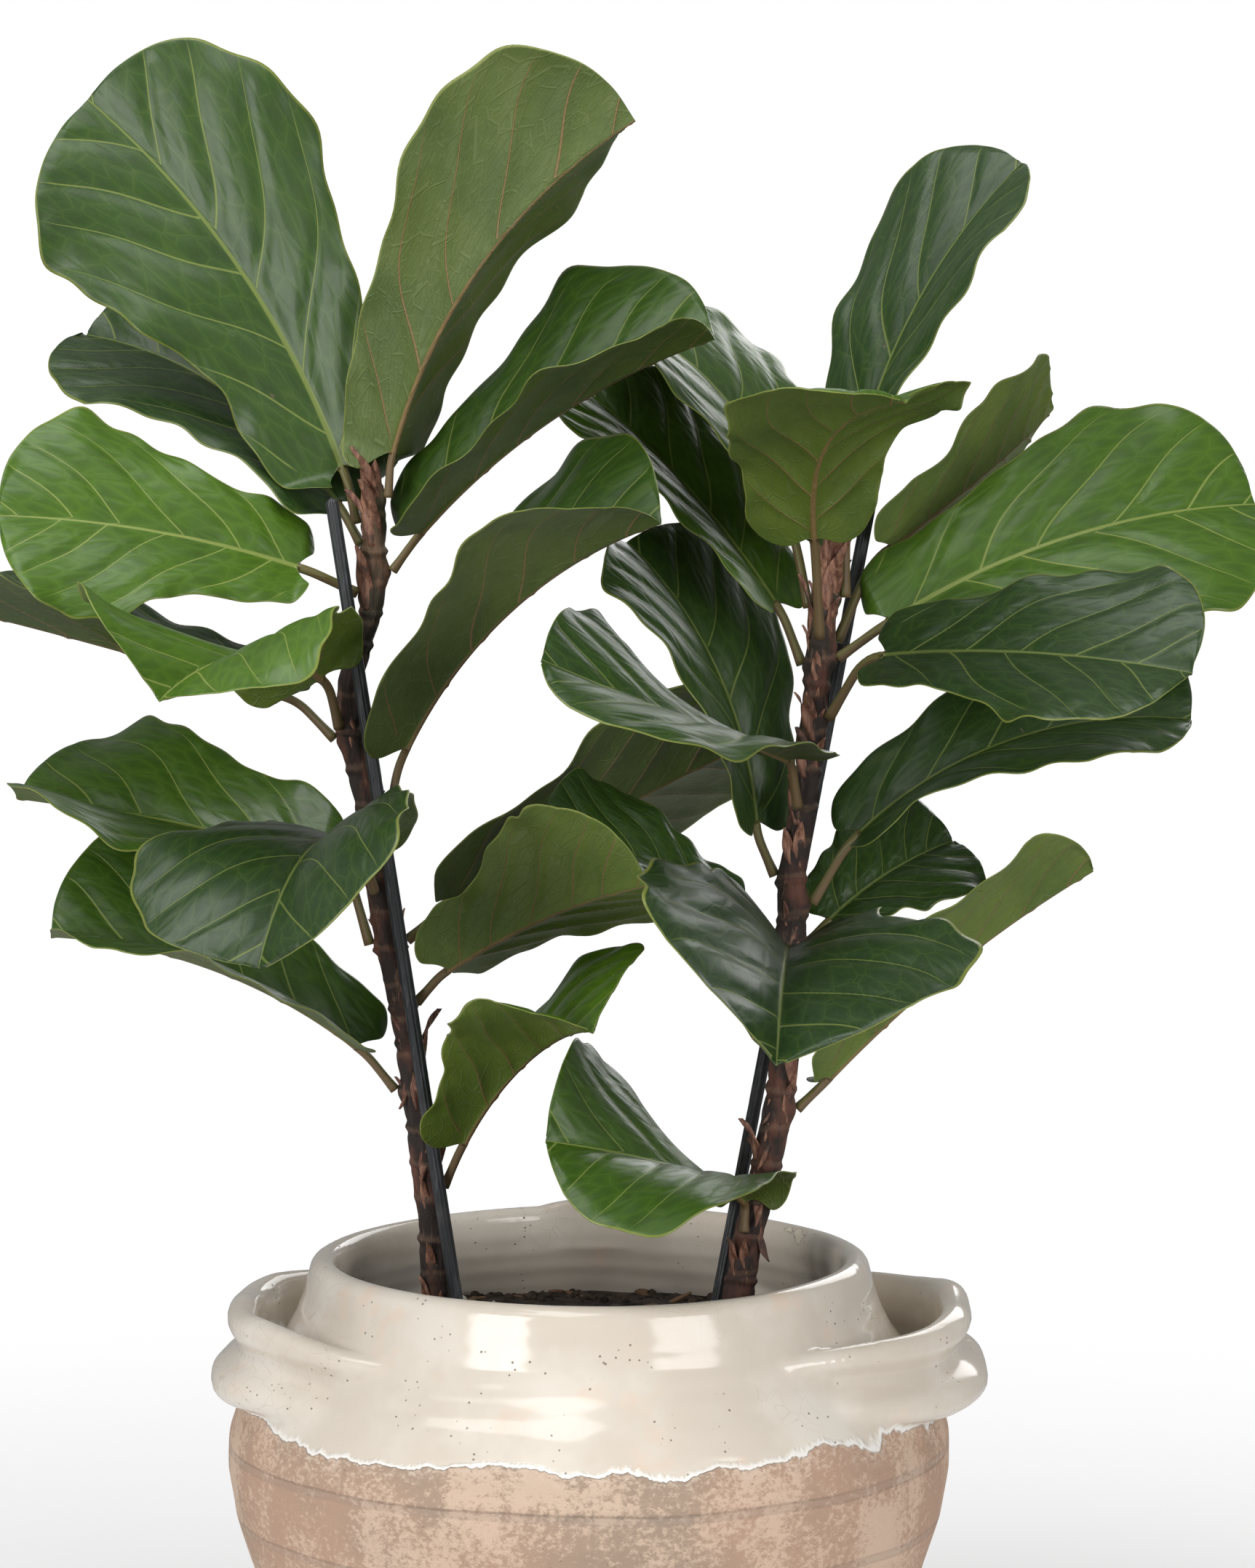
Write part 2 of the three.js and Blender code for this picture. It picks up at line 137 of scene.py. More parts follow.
def handOver(piece, slotName, *nodes):  # smooth shading and what the frame needs to know
    pick(piece)
    bpy.ops.object.shade_smooth()
    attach(piece, "root")
    if nodes:
        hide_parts(*nodes)


def smoothStep(low, high, value):
    share = np.clip((value - low) / (high - low), 0, 1)
    return share * share * (3 - 2 * share)


def ripple(x, y, z, seed):  # soft, repeatable unevenness between about -1 and 1
    a = np.sin(x * 1.0 + 2.3 * np.sin(y * 0.7 + seed) + seed * 1.7)
    b = np.sin(y * 1.3 + 1.9 * np.sin(z * 0.8 - seed) - seed * 2.3)
    c = np.sin(z * 1.1 + 2.1 * np.sin(x * 0.9 + seed * 0.5) + seed * 0.9)
    return (a + b + c) / 3


# A grid rolled into a closed tube: place() gets the angle and the share of the length.
def rolledTube(name, around, along, place):
    piece = gridOf(around, along, name)
    points = readPoints(piece)
    angle = (points[:, 0] + 1) * math.pi
    share = (points[:, 1] + 1) / 2
    writePoints(piece, place(angle, share) * mm)
    cleanMesh(piece)
    return piece


# shader helpers

def newMaterial(name):  # with its shader and the place on the piece
    material = bpy.data.materials.new(name)
    material.use_nodes = True
    place = addNode(material.node_tree, "ShaderNodeTexCoord").outputs["Object"]
    return material, material.node_tree.nodes["Principled BSDF"], place


def addNode(tree, kind, settings=None, inputs=None):
    made = tree.nodes.new(kind)
    for key, value in (settings or {}).items():
        setattr(made, key, value)
    for key, value in (inputs or {}).items():
        if isinstance(value, bpy.types.NodeSocket):
            tree.links.new(value, made.inputs[key])
        else:
            made.inputs[key].default_value = value
    return made


def feed(node, label, value):
    node.id_data.links.new(value, node.inputs[label])


def treeOf(*values):  # the node tree that the first linked value lives in
    return next(value.id_data for value in values if isinstance(value, bpy.types.NodeSocket))


def calc(operation, a, b=0.0):
    return addNode(treeOf(a, b), "ShaderNodeMath", {"operation": operation}, {0: a, 1: b}).outputs[0]


def times(a, b):
    return calc("MULTIPLY", a, b)


def plus(a, b):
    return calc("ADD", a, b)


def minus(a, b):
    return calc("SUBTRACT", a, b)


def inverse(mask):  # 1 where the mask is 0
    return calc("SUBTRACT", 1.0, mask)


def fade(value, low, high):  # 0 below low, 1 above high
    return addNode(value.id_data, "ShaderNodeMapRange", {"interpolation_type": "SMOOTHSTEP"},
                   {"Value": value, "From Min": low, "From Max": high}).outputs[0]


def blendColour(factor, a, b, mode="MIX"):
    return addNode(treeOf(factor, a, b), "ShaderNodeMix", {"data_type": "RGBA", "blend_type": mode},
                   {0: factor, 6: a, 7: b}).outputs[2]


def tint(colour, mask, strength, target):
    return blendColour(times(mask, strength), colour, target)


def cellsOf(vector, scale, feature="F1"):
    return addNode(vector.id_data, "ShaderNodeTexVoronoi", {"feature": feature},
                   {"Vector": vector, "Scale": scale}).outputs["Distance"]


def layered(first, *layers):  # the first value plus every mask times its strength
    for mask, strength in layers:
        first = plus(first, times(mask, strength))
    return first


def noiseOf(vector, scale, detail=3.0, rough=0.55):
    return addNode(vector.id_data, "ShaderNodeTexNoise", None,
                   {"Vector": vector, "Scale": scale, "Detail": detail, "Roughness": rough}).outputs[0]


def stretched(vector, x, y, z):
    return addNode(vector.id_data, "ShaderNodeMapping", None, {"Vector": vector, "Scale": (x, y, z)}).outputs[0]


def apart(vector):
    return addNode(vector.id_data, "ShaderNodeSeparateXYZ", None, {0: vector}).outputs


def bumpOf(height, distance, strength):
    return addNode(height.id_data, "ShaderNodeBump", None,
                   {"Height": height, "Distance": distance, "Strength": strength}).outputs[0]


def attributeOf(tree, name):
    return addNode(tree, "ShaderNodeAttribute", {"attribute_name": name}).outputs


# camera, floor and lights

studio = {
    "cameraPlace": (0.022, -2.492, 0.810),
    "cameraTilt": 4.6,
    "lens": 99.4,
    "floorTone": 0.90,
    "floorFade": (0.35, 1.5),  # the floor turns into plain white between these distances
    "worldStrength": 0.32,
    "white": (1, 1, 1, 1),
    "lights": [  # name, place, aim, width, height, power
        ("windowLeft", (-1.30, -1.72, 1.00), (0, 0, 0.40), 0.80, 1.25, 26),
        ("windowRight", (1.38, -1.66, 0.95), (0, 0, 0.40), 0.95, 1.15, 20),
        ("skyPanel", (-0.5, -0.6, 2.5), (0, 0, 0.5), 1.8, 1.4, 32),
        ("backPanel", (0.9, 1.9, 1.5), (0, 0, 0.7), 1.2, 1.2, 16),
    ],
}


def skyGlow(tree):  # white for the camera, weaker where it lights the plant
    seen = addNode(tree, "ShaderNodeLightPath").outputs["Is Camera Ray"]
    return plus(studio["worldStrength"], times(seen, 1 - studio["worldStrength"]))


def buildStudio():
    lens = bpy.data.cameras.new("viewCamera")
    lens.lens = studio["lens"]
    lens.clip_end = 50
    camera = addObject("viewCamera", lens)
    camera.location = studio["cameraPlace"]
    camera.rotation_euler = (math.radians(90 - studio["cameraTilt"]), 0, 0)
    bpy.context.scene.camera = camera

    deselectAll()
    bpy.ops.mesh.primitive_circle_add(vertices=96, radius=20, fill_type="NGON", location=(0, 0, 0))
    floor = bpy.context.object
    floor.name = "studioFloor"
    material, shader, place = newMaterial("studioFloor")
    tree = material.node_tree
    tone = studio["floorTone"]
    shader.inputs["Base Color"].default_value = (tone, tone, tone, 1)
    shader.inputs["Roughness"].default_value = 0.9
    sweep = addNode(tree, "ShaderNodeEmission", None,
                    {"Color": studio["white"], "Strength": skyGlow(tree)}).outputs[0]
    x, y = apart(place)[:2]
    away = calc("SQRT", plus(times(x, x), times(y, y)))
    both = addNode(tree, "ShaderNodeMixShader", None,
                   {0: fade(away, *studio["floorFade"]), 1: shader.outputs[0], 2: sweep}).outputs[0]
    feed(tree.nodes["Material Output"], "Surface", both)
    giveMaterials(floor, material)

    for name, place, aim, width, height, power in studio["lights"]:
        light = bpy.data.lights.new(name, "AREA")
        light.shape = "RECTANGLE"
        light.size = width
        light.size_y = height
        light.energy = power
        lamp = addObject(name, light)
        lamp.location = place
        lamp.rotation_euler = (Vector(aim) - Vector(place)).to_track_quat("-Z", "Y").to_euler()

    world = bpy.data.worlds.new("studioWorld")
    world.use_nodes = True
    tree = world.node_tree
    sky = tree.nodes["Background"]
    sky.inputs["Color"].default_value = studio["white"]
    feed(sky, "Strength", skyGlow(tree))
    bpy.context.scene.world = world
    bpy.context.scene.view_settings.view_transform = "Standard"


buildStudio()
print("studio ready")


# pot

pot = {
    # radius and height of the outside, from the foot up to the lip
    "outside": [(0, 0), (60, 0), (118, 0), (125, 2), (129, 8), (141, 38), (158, 76), (177, 114), (194, 152),
                (205, 188), (209, 214), (209, 234), (204, 252), (195, 267), (185, 280), (177, 291),
                (171, 302), (167, 312), (164.5, 321), (163, 328), (161.5, 332), (158, 335), (154, 336)],
    "inside": [(150, 334.5), (147.5, 331), (147, 325), (148, 317), (151, 308), (157, 297), (165, 285),
               (176, 268), (187, 247), (194, 224), (192, 192), (181, 154), (164, 116), (146, 78), (126, 40),
               (116, 24), (108, 18), (55, 18), (0, 18)],
    "spinSteps": 180,
    "voxel": 2.7,
    "triangles": 186000,
    "wobble": 1.3,
}

handleShape = {
    # section: distance out from the strap's middle line and height above its centre
    "section": [(-10, 22), (-5, 26), (1, 26), (6, 22.5), (7.5, 17), (5, 11), (1, 5), (1.5, -1), (8, -5),
                (14.5, -10), (17, -16), (15.5, -22), (9, -27), (0, -29), (-7, -28), (-12, -16), (-14, -2),
                (-13, 11)],
    "centreDrop": 51,
    "endDrop": 4,
    "spread": 56,
    "neckRadius": 166,
    "leftReach": 203,
    "rightReach": 215,
}

spoutShape = {"width": 92, "depth": 74, "height": 30, "rise": 3.5}


def ringCurve(points, share):  # a smooth closed curve through the points
    count = len(points)
    place = (share % 1) * count
    index = np.floor(place).astype(int) % count
    t = (place - np.floor(place))[:, None]
    table = np.array(points, float)
    a, b, c, d = (table[(index + k) % count] for k in (-1, 0, 1, 2))
    return 0.5 * (2 * b + (c - a) * t + (2 * a - 5 * b + 4 * c - d) * t ** 2 + (3 * b - a - 3 * c + d) * t ** 3)


def strapHandle(name, reach, side):
    shape = handleShape
    half = math.radians(shape["spread"])
    endX = shape["neckRadius"] * math.cos(half)
    endY = shape["neckRadius"] * math.sin(half)

    def place(angle, share):
        turn = np.clip((share - 0.02) / 0.96, 0, 1) * 2 - 1
        x = endX + (reach - endX) * (1 - np.abs(turn) ** 3)
        y = endY * turn
        slopeX = -(reach - endX) * 3 * turn ** 2 * np.sign(turn)
        long = np.hypot(slopeX, endY)
        outX, outY = endY / long, -slopeX / long
        section = ringCurve(shape["section"], angle / (2 * math.pi))
        cap = np.where((share < 0.02) | (share > 0.98), 0.0, 1.0)
        slim = (1 - 0.30 * np.abs(turn) ** 3) * cap
        out, up = section[:, 0] * slim, section[:, 1] * slim
        up = up + 1.2 * np.sin(turn * 5 + side) + 0.8 * np.sin(turn * 11 - side)
        top = pot["outside"][-1][1]
        z = top - shape["centreDrop"] - shape["endDrop"] * turn ** 2 + up
        return np.column_stack(((x + out * outX) * side, (y + out * outY) * side, z))

    return rolledTube(name, 48, 100, place)


def spunPot():
    outline = pot["outside"] + pot["inside"]
    mesh = bpy.data.meshes.new("glazedPot")
    edges = [(i, i + 1) for i in range(len(outline) - 1)]
    mesh.from_pydata([(r * mm, 0, z * mm) for r, z in outline], edges, [])
    body = addObject("glazedPot", mesh)
    pick(body)
    bpy.ops.object.mode_set(mode="EDIT")
    bpy.ops.mesh.select_all(action="SELECT")
    bpy.ops.mesh.spin(steps=pot["spinSteps"], angle=2 * math.pi, center=(0, 0, 0), axis=(0, 0, 1))
    bpy.ops.object.mode_set(mode="OBJECT")
    cleanMesh(body)
    return body


def pouringLip():
    deselectAll()
    bpy.ops.mesh.primitive_uv_sphere_add(segments=48, ring_count=24, radius=0.5)
    lump = bpy.context.object
    top = pot["outside"][-1][1]
    points = readPoints(lump) * np.array((spoutShape["width"], spoutShape["depth"], spoutShape["height"]))
    points = points + np.array((0, 148, top - spoutShape["height"] / 2 + spoutShape["rise"]))
    radius = np.hypot(points[:, 0], points[:, 1])
    keep = np.maximum(radius, 148.5) / radius  # the mouth stays open in front of it
    points[:, 0] *= keep
    points[:, 1] *= keep
    writePoints(lump, points * mm)
    return lump


def buildPot():
    body = spunPot()
    parts = [strapHandle("leftStrap", handleShape["leftReach"], -1),
             strapHandle("rightStrap", handleShape["rightReach"], 1), pouringLip()]
    joinInto(body, parts)
    body.name = "glazedPot"
    remesh = body.modifiers.new("oneClay", "REMESH")
    remesh.mode = "VOXEL"
    remesh.voxel_size = pot["voxel"] * mm
    soften = body.modifiers.new("wetJoints", "SMOOTH")
    soften.factor = 0.5
    soften.iterations = 4
    applyModifiers(body)
    points = readPoints(body) / mm
    uneven = pot["wobble"] * ripple(points[:, 0] / 46, points[:, 1] / 46, points[:, 2] / 34, 2.0)
    uneven += 0.35 * ripple(points[:, 0] / 13, points[:, 1] / 13, points[:, 2] / 9, 5.0)
    radius = np.maximum(np.hypot(points[:, 0], points[:, 1]), 1)
    high = smoothStep(12, 60, points[:, 2])
    points[:, 0] += points[:, 0] / radius * uneven * high
    points[:, 1] += points[:, 1] / radius * uneven * high
    rim = smoothStep(300, 330, points[:, 2])
    points[:, 2] += rim * 0.9 * ripple(points[:, 0] / 60, points[:, 1] / 60, 1, 7.0)
    points[:, 2] = np.where(points[:, 2] < 0.8, 0, points[:, 2])
    writePoints(body, points * mm)
    lighter = body.modifiers.new("lighter", "DECIMATE")
    lighter.ratio = min(1, pot["triangles"] / (2 * len(body.data.polygons)))
    applyModifiers(body)
    giveMaterials(body, potMaterial())
    handOver(body, "glazed_pot", "pot")
    print("pot made", len(body.data.polygons), "faces")


glazeLook = {
    "edgeHeight": 0.2535,
    "cream": (0.62, 0.55, 0.465, 1),
    "pale": (0.70, 0.645, 0.565, 1),
    "peach": (0.72, 0.54, 0.42, 1),
    "speck": (0.15, 0.11, 0.08, 1),
    "clay": (0.46, 0.30, 0.212, 1),
    "greyClay": (0.37, 0.272, 0.20, 1),
    "wear": (0.72, 0.54, 0.41, 1),
    "ring": (0.27, 0.22, 0.185, 1),
    "bead": (0.82, 0.79, 0.74, 1),
    "crack": (0.42, 0.34, 0.27, 1),
    "flake": (0.78, 0.71, 0.58, 1),
    "flakeRim": (0.30, 0.24, 0.18, 1),
    "dust": (0.66, 0.56, 0.46, 1),
    "ringHeights": (0.229, 0.188, 0.120),
    "glazeRough": 0.13,
    "clayRough": 0.88,
}


def potMaterial():
    look = glazeLook
    material, shader, place = newMaterial("glazedTerracotta")
    tree = material.node_tree
    z = apart(place)[2]

    # the lower edge of the glaze wanders and drips
    slow = noiseOf(place, 14, 2)
    runs = noiseOf(stretched(place, 1, 1, 0.3), 60, 4, 0.6)
    edge = layered(minus(z, look["edgeHeight"]), (minus(slow, 0.5), 0.034), (minus(runs, 0.5), 0.014))
    glazed = fade(edge, -0.0005, 0.0006)
    bead = times(glazed, inverse(fade(edge, 0.0012, 0.0042)))

    # glaze colour: cream clouds, peach where it is thin, pits and fine crazing
    clouds = fade(noiseOf(place, 16, 4), 0.36, 0.66)
    glaze = blendColour(clouds, look["cream"], look["pale"])
    thin = fade(noiseOf(place, 23, 3, 0.6), 0.57, 0.72)
    glaze = tint(glaze, thin, 0.55, look["peach"])
    glaze = blendColour(bead, glaze, look["bead"])
    crackle = cellsOf(place, 85.0, "DISTANCE_TO_EDGE")
    crackLine = inverse(fade(crackle, 0.004, 0.022))
    crackLine = times(crackLine, fade(noiseOf(place, 9, 2), 0.5, 0.62))
    glaze = tint(glaze, crackLine, 0.30, look["crack"])
    pitCells = cellsOf(place, 210.0)
    pits = inverse(fade(pitCells, 0.07, 0.16))
    pits = times(pits, fade(noiseOf(place, 31, 2), 0.53, 0.60))
    glaze = tint(glaze, pits, 0.85, look["speck"])

    # flakes of lost glaze, outlined by a fine dark rim
    flake = noiseOf(place, 19, 5, 0.5)
    flaked = fade(flake, 0.705, 0.712)
    flakeRim = times(fade(flake, 0.698, 0.705), inverse(flaked))
    glaze = tint(glaze, flaked, 0.7, look["flake"])
    glaze = tint(glaze, flakeRim, 0.6, look["flakeRim"])

    # bare clay: pink and grey tan under streaky pale wear, with scored rings
    clay = blendColour(fade(noiseOf(place, 7, 3), 0.40, 0.60), look["clay"], look["greyClay"])
    fine = noiseOf(stretched(place, 1, 1, 1.3), 260, 8, 0.78)
    broad = noiseOf(stretched(place, 1, 1, 0.7), 21, 4, 0.6)
    wear = fade(plus(fine, times(broad, 0.9)), 0.90, 1.06)
    clay = tint(clay, wear, 0.65, look["wear"])
    bend = times(minus(noiseOf(place, 5, 2), 0.5), 0.010)
    level = plus(z, bend)
    rings = None
    for height in look["ringHeights"]:
        near = calc("ABSOLUTE", minus(level, height))
        ring = inverse(fade(near, 0.0012, 0.0034))
        rings = ring if rings is None else calc("MAXIMUM", rings, ring)
    clay = tint(clay, rings, 0.26, look["ring"])
    dust = inverse(fade(calc("ABSOLUTE", edge), 0.0, 0.011))
    dust = times(dust, fade(fine, 0.45, 0.60))
    clay = tint(clay, dust, 0.5, look["dust"])

    colour = blendColour(glazed, clay, glaze)
    feed(shader, "Base Color", colour)
    glazeRough = plus(look["glazeRough"], times(calc("MAXIMUM", pits, flaked), 0.4))
    clayRough = minus(look["clayRough"], times(wear, 0.12))
    rough = addNode(tree, "ShaderNodeMix", None, {0: glazed, 2: clayRough, 3: glazeRough}).outputs[0]
    feed(shader, "Roughness", rough)

    turning = addNode(tree, "ShaderNodeTexWave", {"bands_direction": "Z", "wave_profile": "SIN"},
                      {"Vector": place, "Scale": 26.0, "Distortion": 1.6, "Detail": 2.0}).outputs["Fac"]
    bare = inverse(glazed)
    relief = layered(times(glazed, 0.55), (bead, 0.6), (turning, 0.16), (pits, -0.35), (flaked, -0.25),
                     (times(bare, rings), -0.9), (times(bare, fine), 0.55))
    feed(shader, "Normal", bumpOf(relief, 0.0016, 0.9))
    return material


buildPot()


# soil

soil = {"top": 284, "depth": 14, "radius": 177,
        "crumbs": 620, "chips": 70, "crumbSize": (1.3, 4.6), "spread": 166}


def soilHeight(x, y):
    radius = np.hypot(x, y)
    mound = 2.2 * ripple(x / 38, y / 38, 1, 3.0) + 1.1 * ripple(x / 11, y / 11, 2, 6.0) - 1.0
    return soil["top"] + mound - 3.0 * smoothStep(130, 172, radius)


def buildSoil():
    def place(angle, share):  # top disc, rim and underside in one strip from the axis to the axis
        radius = np.interp(share, [0, 0.80, 0.86, 1], [0, soil["radius"], soil["radius"] - 6, 0])
        x, y = radius * np.cos(angle), radius * np.sin(angle)
        top = soilHeight(x, y)
        z = np.where(share <= 0.8005, top, soil["top"] - soil["depth"])
        return np.column_stack((x, y, z))

    ground = rolledTube("plantingSoil", 120, 70, place)
    deselectAll()
    bpy.ops.mesh.primitive_ico_sphere_add(subdivisions=2, radius=1)
    crumb = bpy.context.object
    basis = readPoints(crumb)
    faces = [tuple(face.vertices) for face in crumb.data.polygons]
    throwAway(crumb)
    points, allFaces, tones = [], [], []
    for index in range(soil["crumbs"] + soil["chips"]):
        chip = index >= soil["crumbs"]
        far = soil["spread"] * math.sqrt(random.random())
        angle = random.uniform(0, 2 * math.pi)
        x, y = far * math.cos(angle), far * math.sin(angle)
        size = random.uniform(*soil["crumbSize"]) * random.uniform(0.5, 1)
        shape = np.array((random.uniform(2.0, 3.4), random.uniform(0.9, 1.5), 0.45) if chip else (
            random.uniform(0.8, 1.3), random.uniform(0.8, 1.3), random.uniform(0.6, 0.95)))
        lump = basis * (1 + 0.22 * ripple(basis[:, 0] * 3, basis[:, 1] * 3, basis[:, 2] * 3, index))[:, None]
        lump = lump * shape * size
        turn, tip = random.uniform(0, 6.3), random.uniform(-0.5, 0.5)
        c, s, ct, st = math.cos(turn), math.sin(turn), math.cos(tip), math.sin(tip)
        spin = np.array(((c, -s, 0), (s, c, 0), (0, 0, 1))) @ np.array(((ct, 0, st), (0, 1, 0), (-st, 0, ct)))
        level = soilHeight(np.array([x]), np.array([y]))[0]
        allFaces += [tuple(v + len(points) * len(basis) for v in face) for face in faces]
        points.append(lump @ spin.T + np.array((x, y, level + size * 0.25)))
        tone = 0.55 if chip else (1.0 if random.random() < 0.07 else random.uniform(0, 0.3))
        tones.append(np.full(len(basis), tone))
    mesh = bpy.data.meshes.new("soilCrumbs")
    mesh.from_pydata((np.vstack(points) * mm).tolist(), [], allFaces)
    crumbs = addObject("soilCrumbs", mesh)
    writeAttribute(crumbs, "crumbTone", "FLOAT", np.concatenate(tones))
    writeAttribute(ground, "crumbTone", "FLOAT", np.zeros(len(ground.data.vertices)))
    joinInto(ground, [crumbs])
    giveMaterials(ground, soilMaterial())
    handOver(ground, "soil", "soil")
    print("soil made", len(ground.data.polygons), "faces")


soilLook = {"wet": (0.012, 0.008, 0.006, 1), "dry": (0.060, 0.038, 0.024, 1), "chip": (0.15, 0.085, 0.045, 1),
            "grit": (0.58, 0.54, 0.47, 1)}


def soilMaterial():
    material, shader, place = newMaterial("pottingSoil")
    tone = attributeOf(material.node_tree, "crumbTone")["Fac"]
    damp = noiseOf(place, 60, 6, 0.7)
    colour = blendColour(fade(damp, 0.38, 0.66), soilLook["wet"], soilLook["dry"])
    colour = blendColour(fade(tone, 0.2, 0.6), colour, soilLook["chip"])
    colour = blendColour(fade(tone, 0.8, 0.95), colour, soilLook["grit"])
    feed(shader, "Base Color", colour)
    rough = minus(0.98, times(fade(damp, 0.5, 0.8), 0.22))
    feed(shader, "Roughness", rough)
    grain = noiseOf(place, 420, 5, 0.7)
    feed(shader, "Normal", bumpOf(grain, 0.0012, 0.9))
    return material


buildSoil()


# leaves: the same places, bends and folds as the model's; tone goes from a dark leaf to a bright one, partly
# the leaf's own green and partly painted light shining through the blade

leafShape = {
    "petioleRows": 14, "bladeRows": 110, "columns": 68,
    "petioleRadius": 2.7, "thickness": 0.8, "edgeCurl": -18, "edgeWave": 5, "clearance": 0.4,
    "laterals": 5.4, "puff": 1.7, "rib": 2.1, "sideRib": 0.75,
    # where each row starts on the midrib, where it ends on the margin, and its share of the half width
    "outline": [(0.00, 0.00, 0.05), (0.02, -0.045, 0.23), (0.07, 0.00, 0.43), (0.15, 0.12, 0.52),
                (0.28, 0.28, 0.57), (0.42, 0.45, 0.74), (0.56, 0.62, 0.95), (0.70, 0.76, 1.00),
                (0.82, 0.88, 0.87), (0.91, 0.96, 0.60), (0.97, 0.995, 0.30), (1.00, 1.00, 0.05)],
}


def leafOf(side, number, swing=0, twist=0, cup=0, **sizes):
    return dict(name=f"{side}_leaf_{number}", stem=side + "_stem", swing=swing, twist=twist, cup=cup, **sizes)


leaves = [
    leafOf("left", 1, at=0.955, heading=160, swing=12, petiole=34, lift=76, rise=68, droop=28, roll=-72,
           fold=16, length=264, width=172, tone=0.28),
    leafOf("left", 2, at=0.985, heading=330, swing=26, petiole=26, lift=86, rise=72, droop=40, roll=-40,
           fold=48, length=240, width=160, tone=0.40),
    leafOf("left", 3, at=0.93, heading=146, swing=4, petiole=30, lift=56, rise=48, droop=40, roll=-32,
           fold=20, length=212, width=148, tone=0.14),
    leafOf("left", 4, at=0.875, heading=192, petiole=38, lift=25, rise=18, droop=16, roll=-56, fold=14,
           length=172, width=136, tone=0.72),
    leafOf("left", 5, at=0.72, heading=240, petiole=36, lift=68, rise=24, droop=52, roll=42, twist=-72,
           fold=14, cup=22, length=160, width=172, tone=0.70),
    leafOf("left", 6, at=0.705, heading=168, petiole=40, lift=45, rise=16, droop=4, roll=0, fold=36,
           length=212, width=130, tone=0.12),
    leafOf("left", 7, at=0.9, heading=352, petiole=28, lift=54, rise=48, droop=30, roll=22, fold=42,
           length=204, width=158, tone=0.34),
    leafOf("left", 8, at=0.605, heading=331, petiole=48, lift=78, rise=60, droop=44, roll=18, twist=4,
           fold=42, cup=4, length=216, width=160, tone=0.30),
    leafOf("left", 9, at=0.465, heading=169, petiole=62, lift=74, rise=14, droop=8, roll=-58, twist=54,
           fold=30, length=186, width=150, tone=0.48),
    leafOf("left", 10, at=0.53, heading=257, petiole=34, lift=48, rise=25, droop=75, roll=12, fold=28,
           length=210, width=170, tone=0.10),
    leafOf("left", 11, at=0.295, heading=184, petiole=34, lift=52, rise=38, droop=35, roll=-24, fold=38,
           length=190, width=148, tone=0.36),
    leafOf("left", 12, at=0.47, heading=18, petiole=34, lift=38, rise=30, droop=8, roll=-50, fold=18,
           length=212, width=140, tone=0.30),
    leafOf("left", 13, at=0.4, heading=327, swing=-20, petiole=30, lift=45, rise=31, droop=20, roll=-35,
           fold=30, length=168, width=134, tone=0.62),
    leafOf("left", 14, at=0.184, heading=322, swing=-34, petiole=31, lift=62, rise=57, droop=54, roll=14,
           twist=4, fold=41, length=165, width=137, tone=0.80),
    leafOf("right", 1, at=0.151, heading=252, swing=-53, petiole=20, lift=101, rise=25, droop=14, roll=11,
           twist=-66, fold=22, length=174, width=150, tone=0.44),
    leafOf("right", 2, at=0.52, heading=266, petiole=30, lift=15, rise=6, droop=36, roll=-14, fold=42,
           length=195, width=222, tone=0.08),
    leafOf("right", 3, at=0.31, heading=14, petiole=26, lift=42, rise=44, droop=16, roll=-30, fold=28,
           length=200, width=118, tone=0.75),
    leafOf("right", 4, at=0.53, heading=30, petiole=20, lift=40, rise=38, droop=24, roll=35, fold=22,
           length=96, width=112, tone=0.20),
    leafOf("right", 5, at=0.585, heading=356, petiole=50, lift=60, rise=44, droop=50, roll=34, fold=28,
           length=206, width=136, tone=0.14),
    leafOf("right", 6, at=0.831, heading=318, swing=7, petiole=58, lift=54, rise=6, droop=14, roll=47,
           twist=-8, fold=19, length=202, width=130, tone=0.10),
    leafOf("right", 7, at=0.909, heading=355, swing=23, petiole=37, lift=36, rise=33, droop=32, roll=58,
           twist=-6, fold=13, length=228, width=157, tone=0.62),
    leafOf("right", 8, at=0.93, heading=32, swing=34, petiole=67, lift=63, rise=32, droop=11, roll=-66,
           fold=19, length=181, width=104, tone=0.80),
    leafOf("right", 9, at=0.937, heading=261, swing=52, petiole=65, lift=67, rise=54, droop=51, roll=7,
           twist=-5, fold=15, length=163, width=146, tone=0.62),
    leafOf("right", 10, at=0.989, heading=4, swing=-2, petiole=43, lift=90, rise=83, droop=38, roll=26,
           fold=22, length=232, width=136, tone=0.12),
    leafOf("right", 11, at=0.975, heading=140, petiole=44, lift=76, rise=70, droop=60, roll=0, fold=16,
           length=208, width=156, tone=0.34),
    leafOf("right", 12, at=0.9, heading=146, petiole=40, lift=66, rise=52, droop=20, roll=-12, fold=22,
           length=190, width=120, tone=0.55),
    leafOf("right", 13, at=0.715, heading=250, swing=-55, petiole=38, lift=66, rise=12, droop=-12,
           roll=-5, twist=-30, fold=16, length=205, width=150, tone=0.16),
    leafOf("right", 14, at=0.62, heading=152, petiole=34, lift=64, rise=84, droop=44, roll=-12, fold=22,
           length=186, width=135, tone=0.20),
    leafOf("right", 15, at=0.545, heading=190, petiole=28, lift=35, rise=30, droop=10, roll=-28, fold=26,
           length=122, width=100, tone=0.22),
]


# stems, stakes and dry sheaths

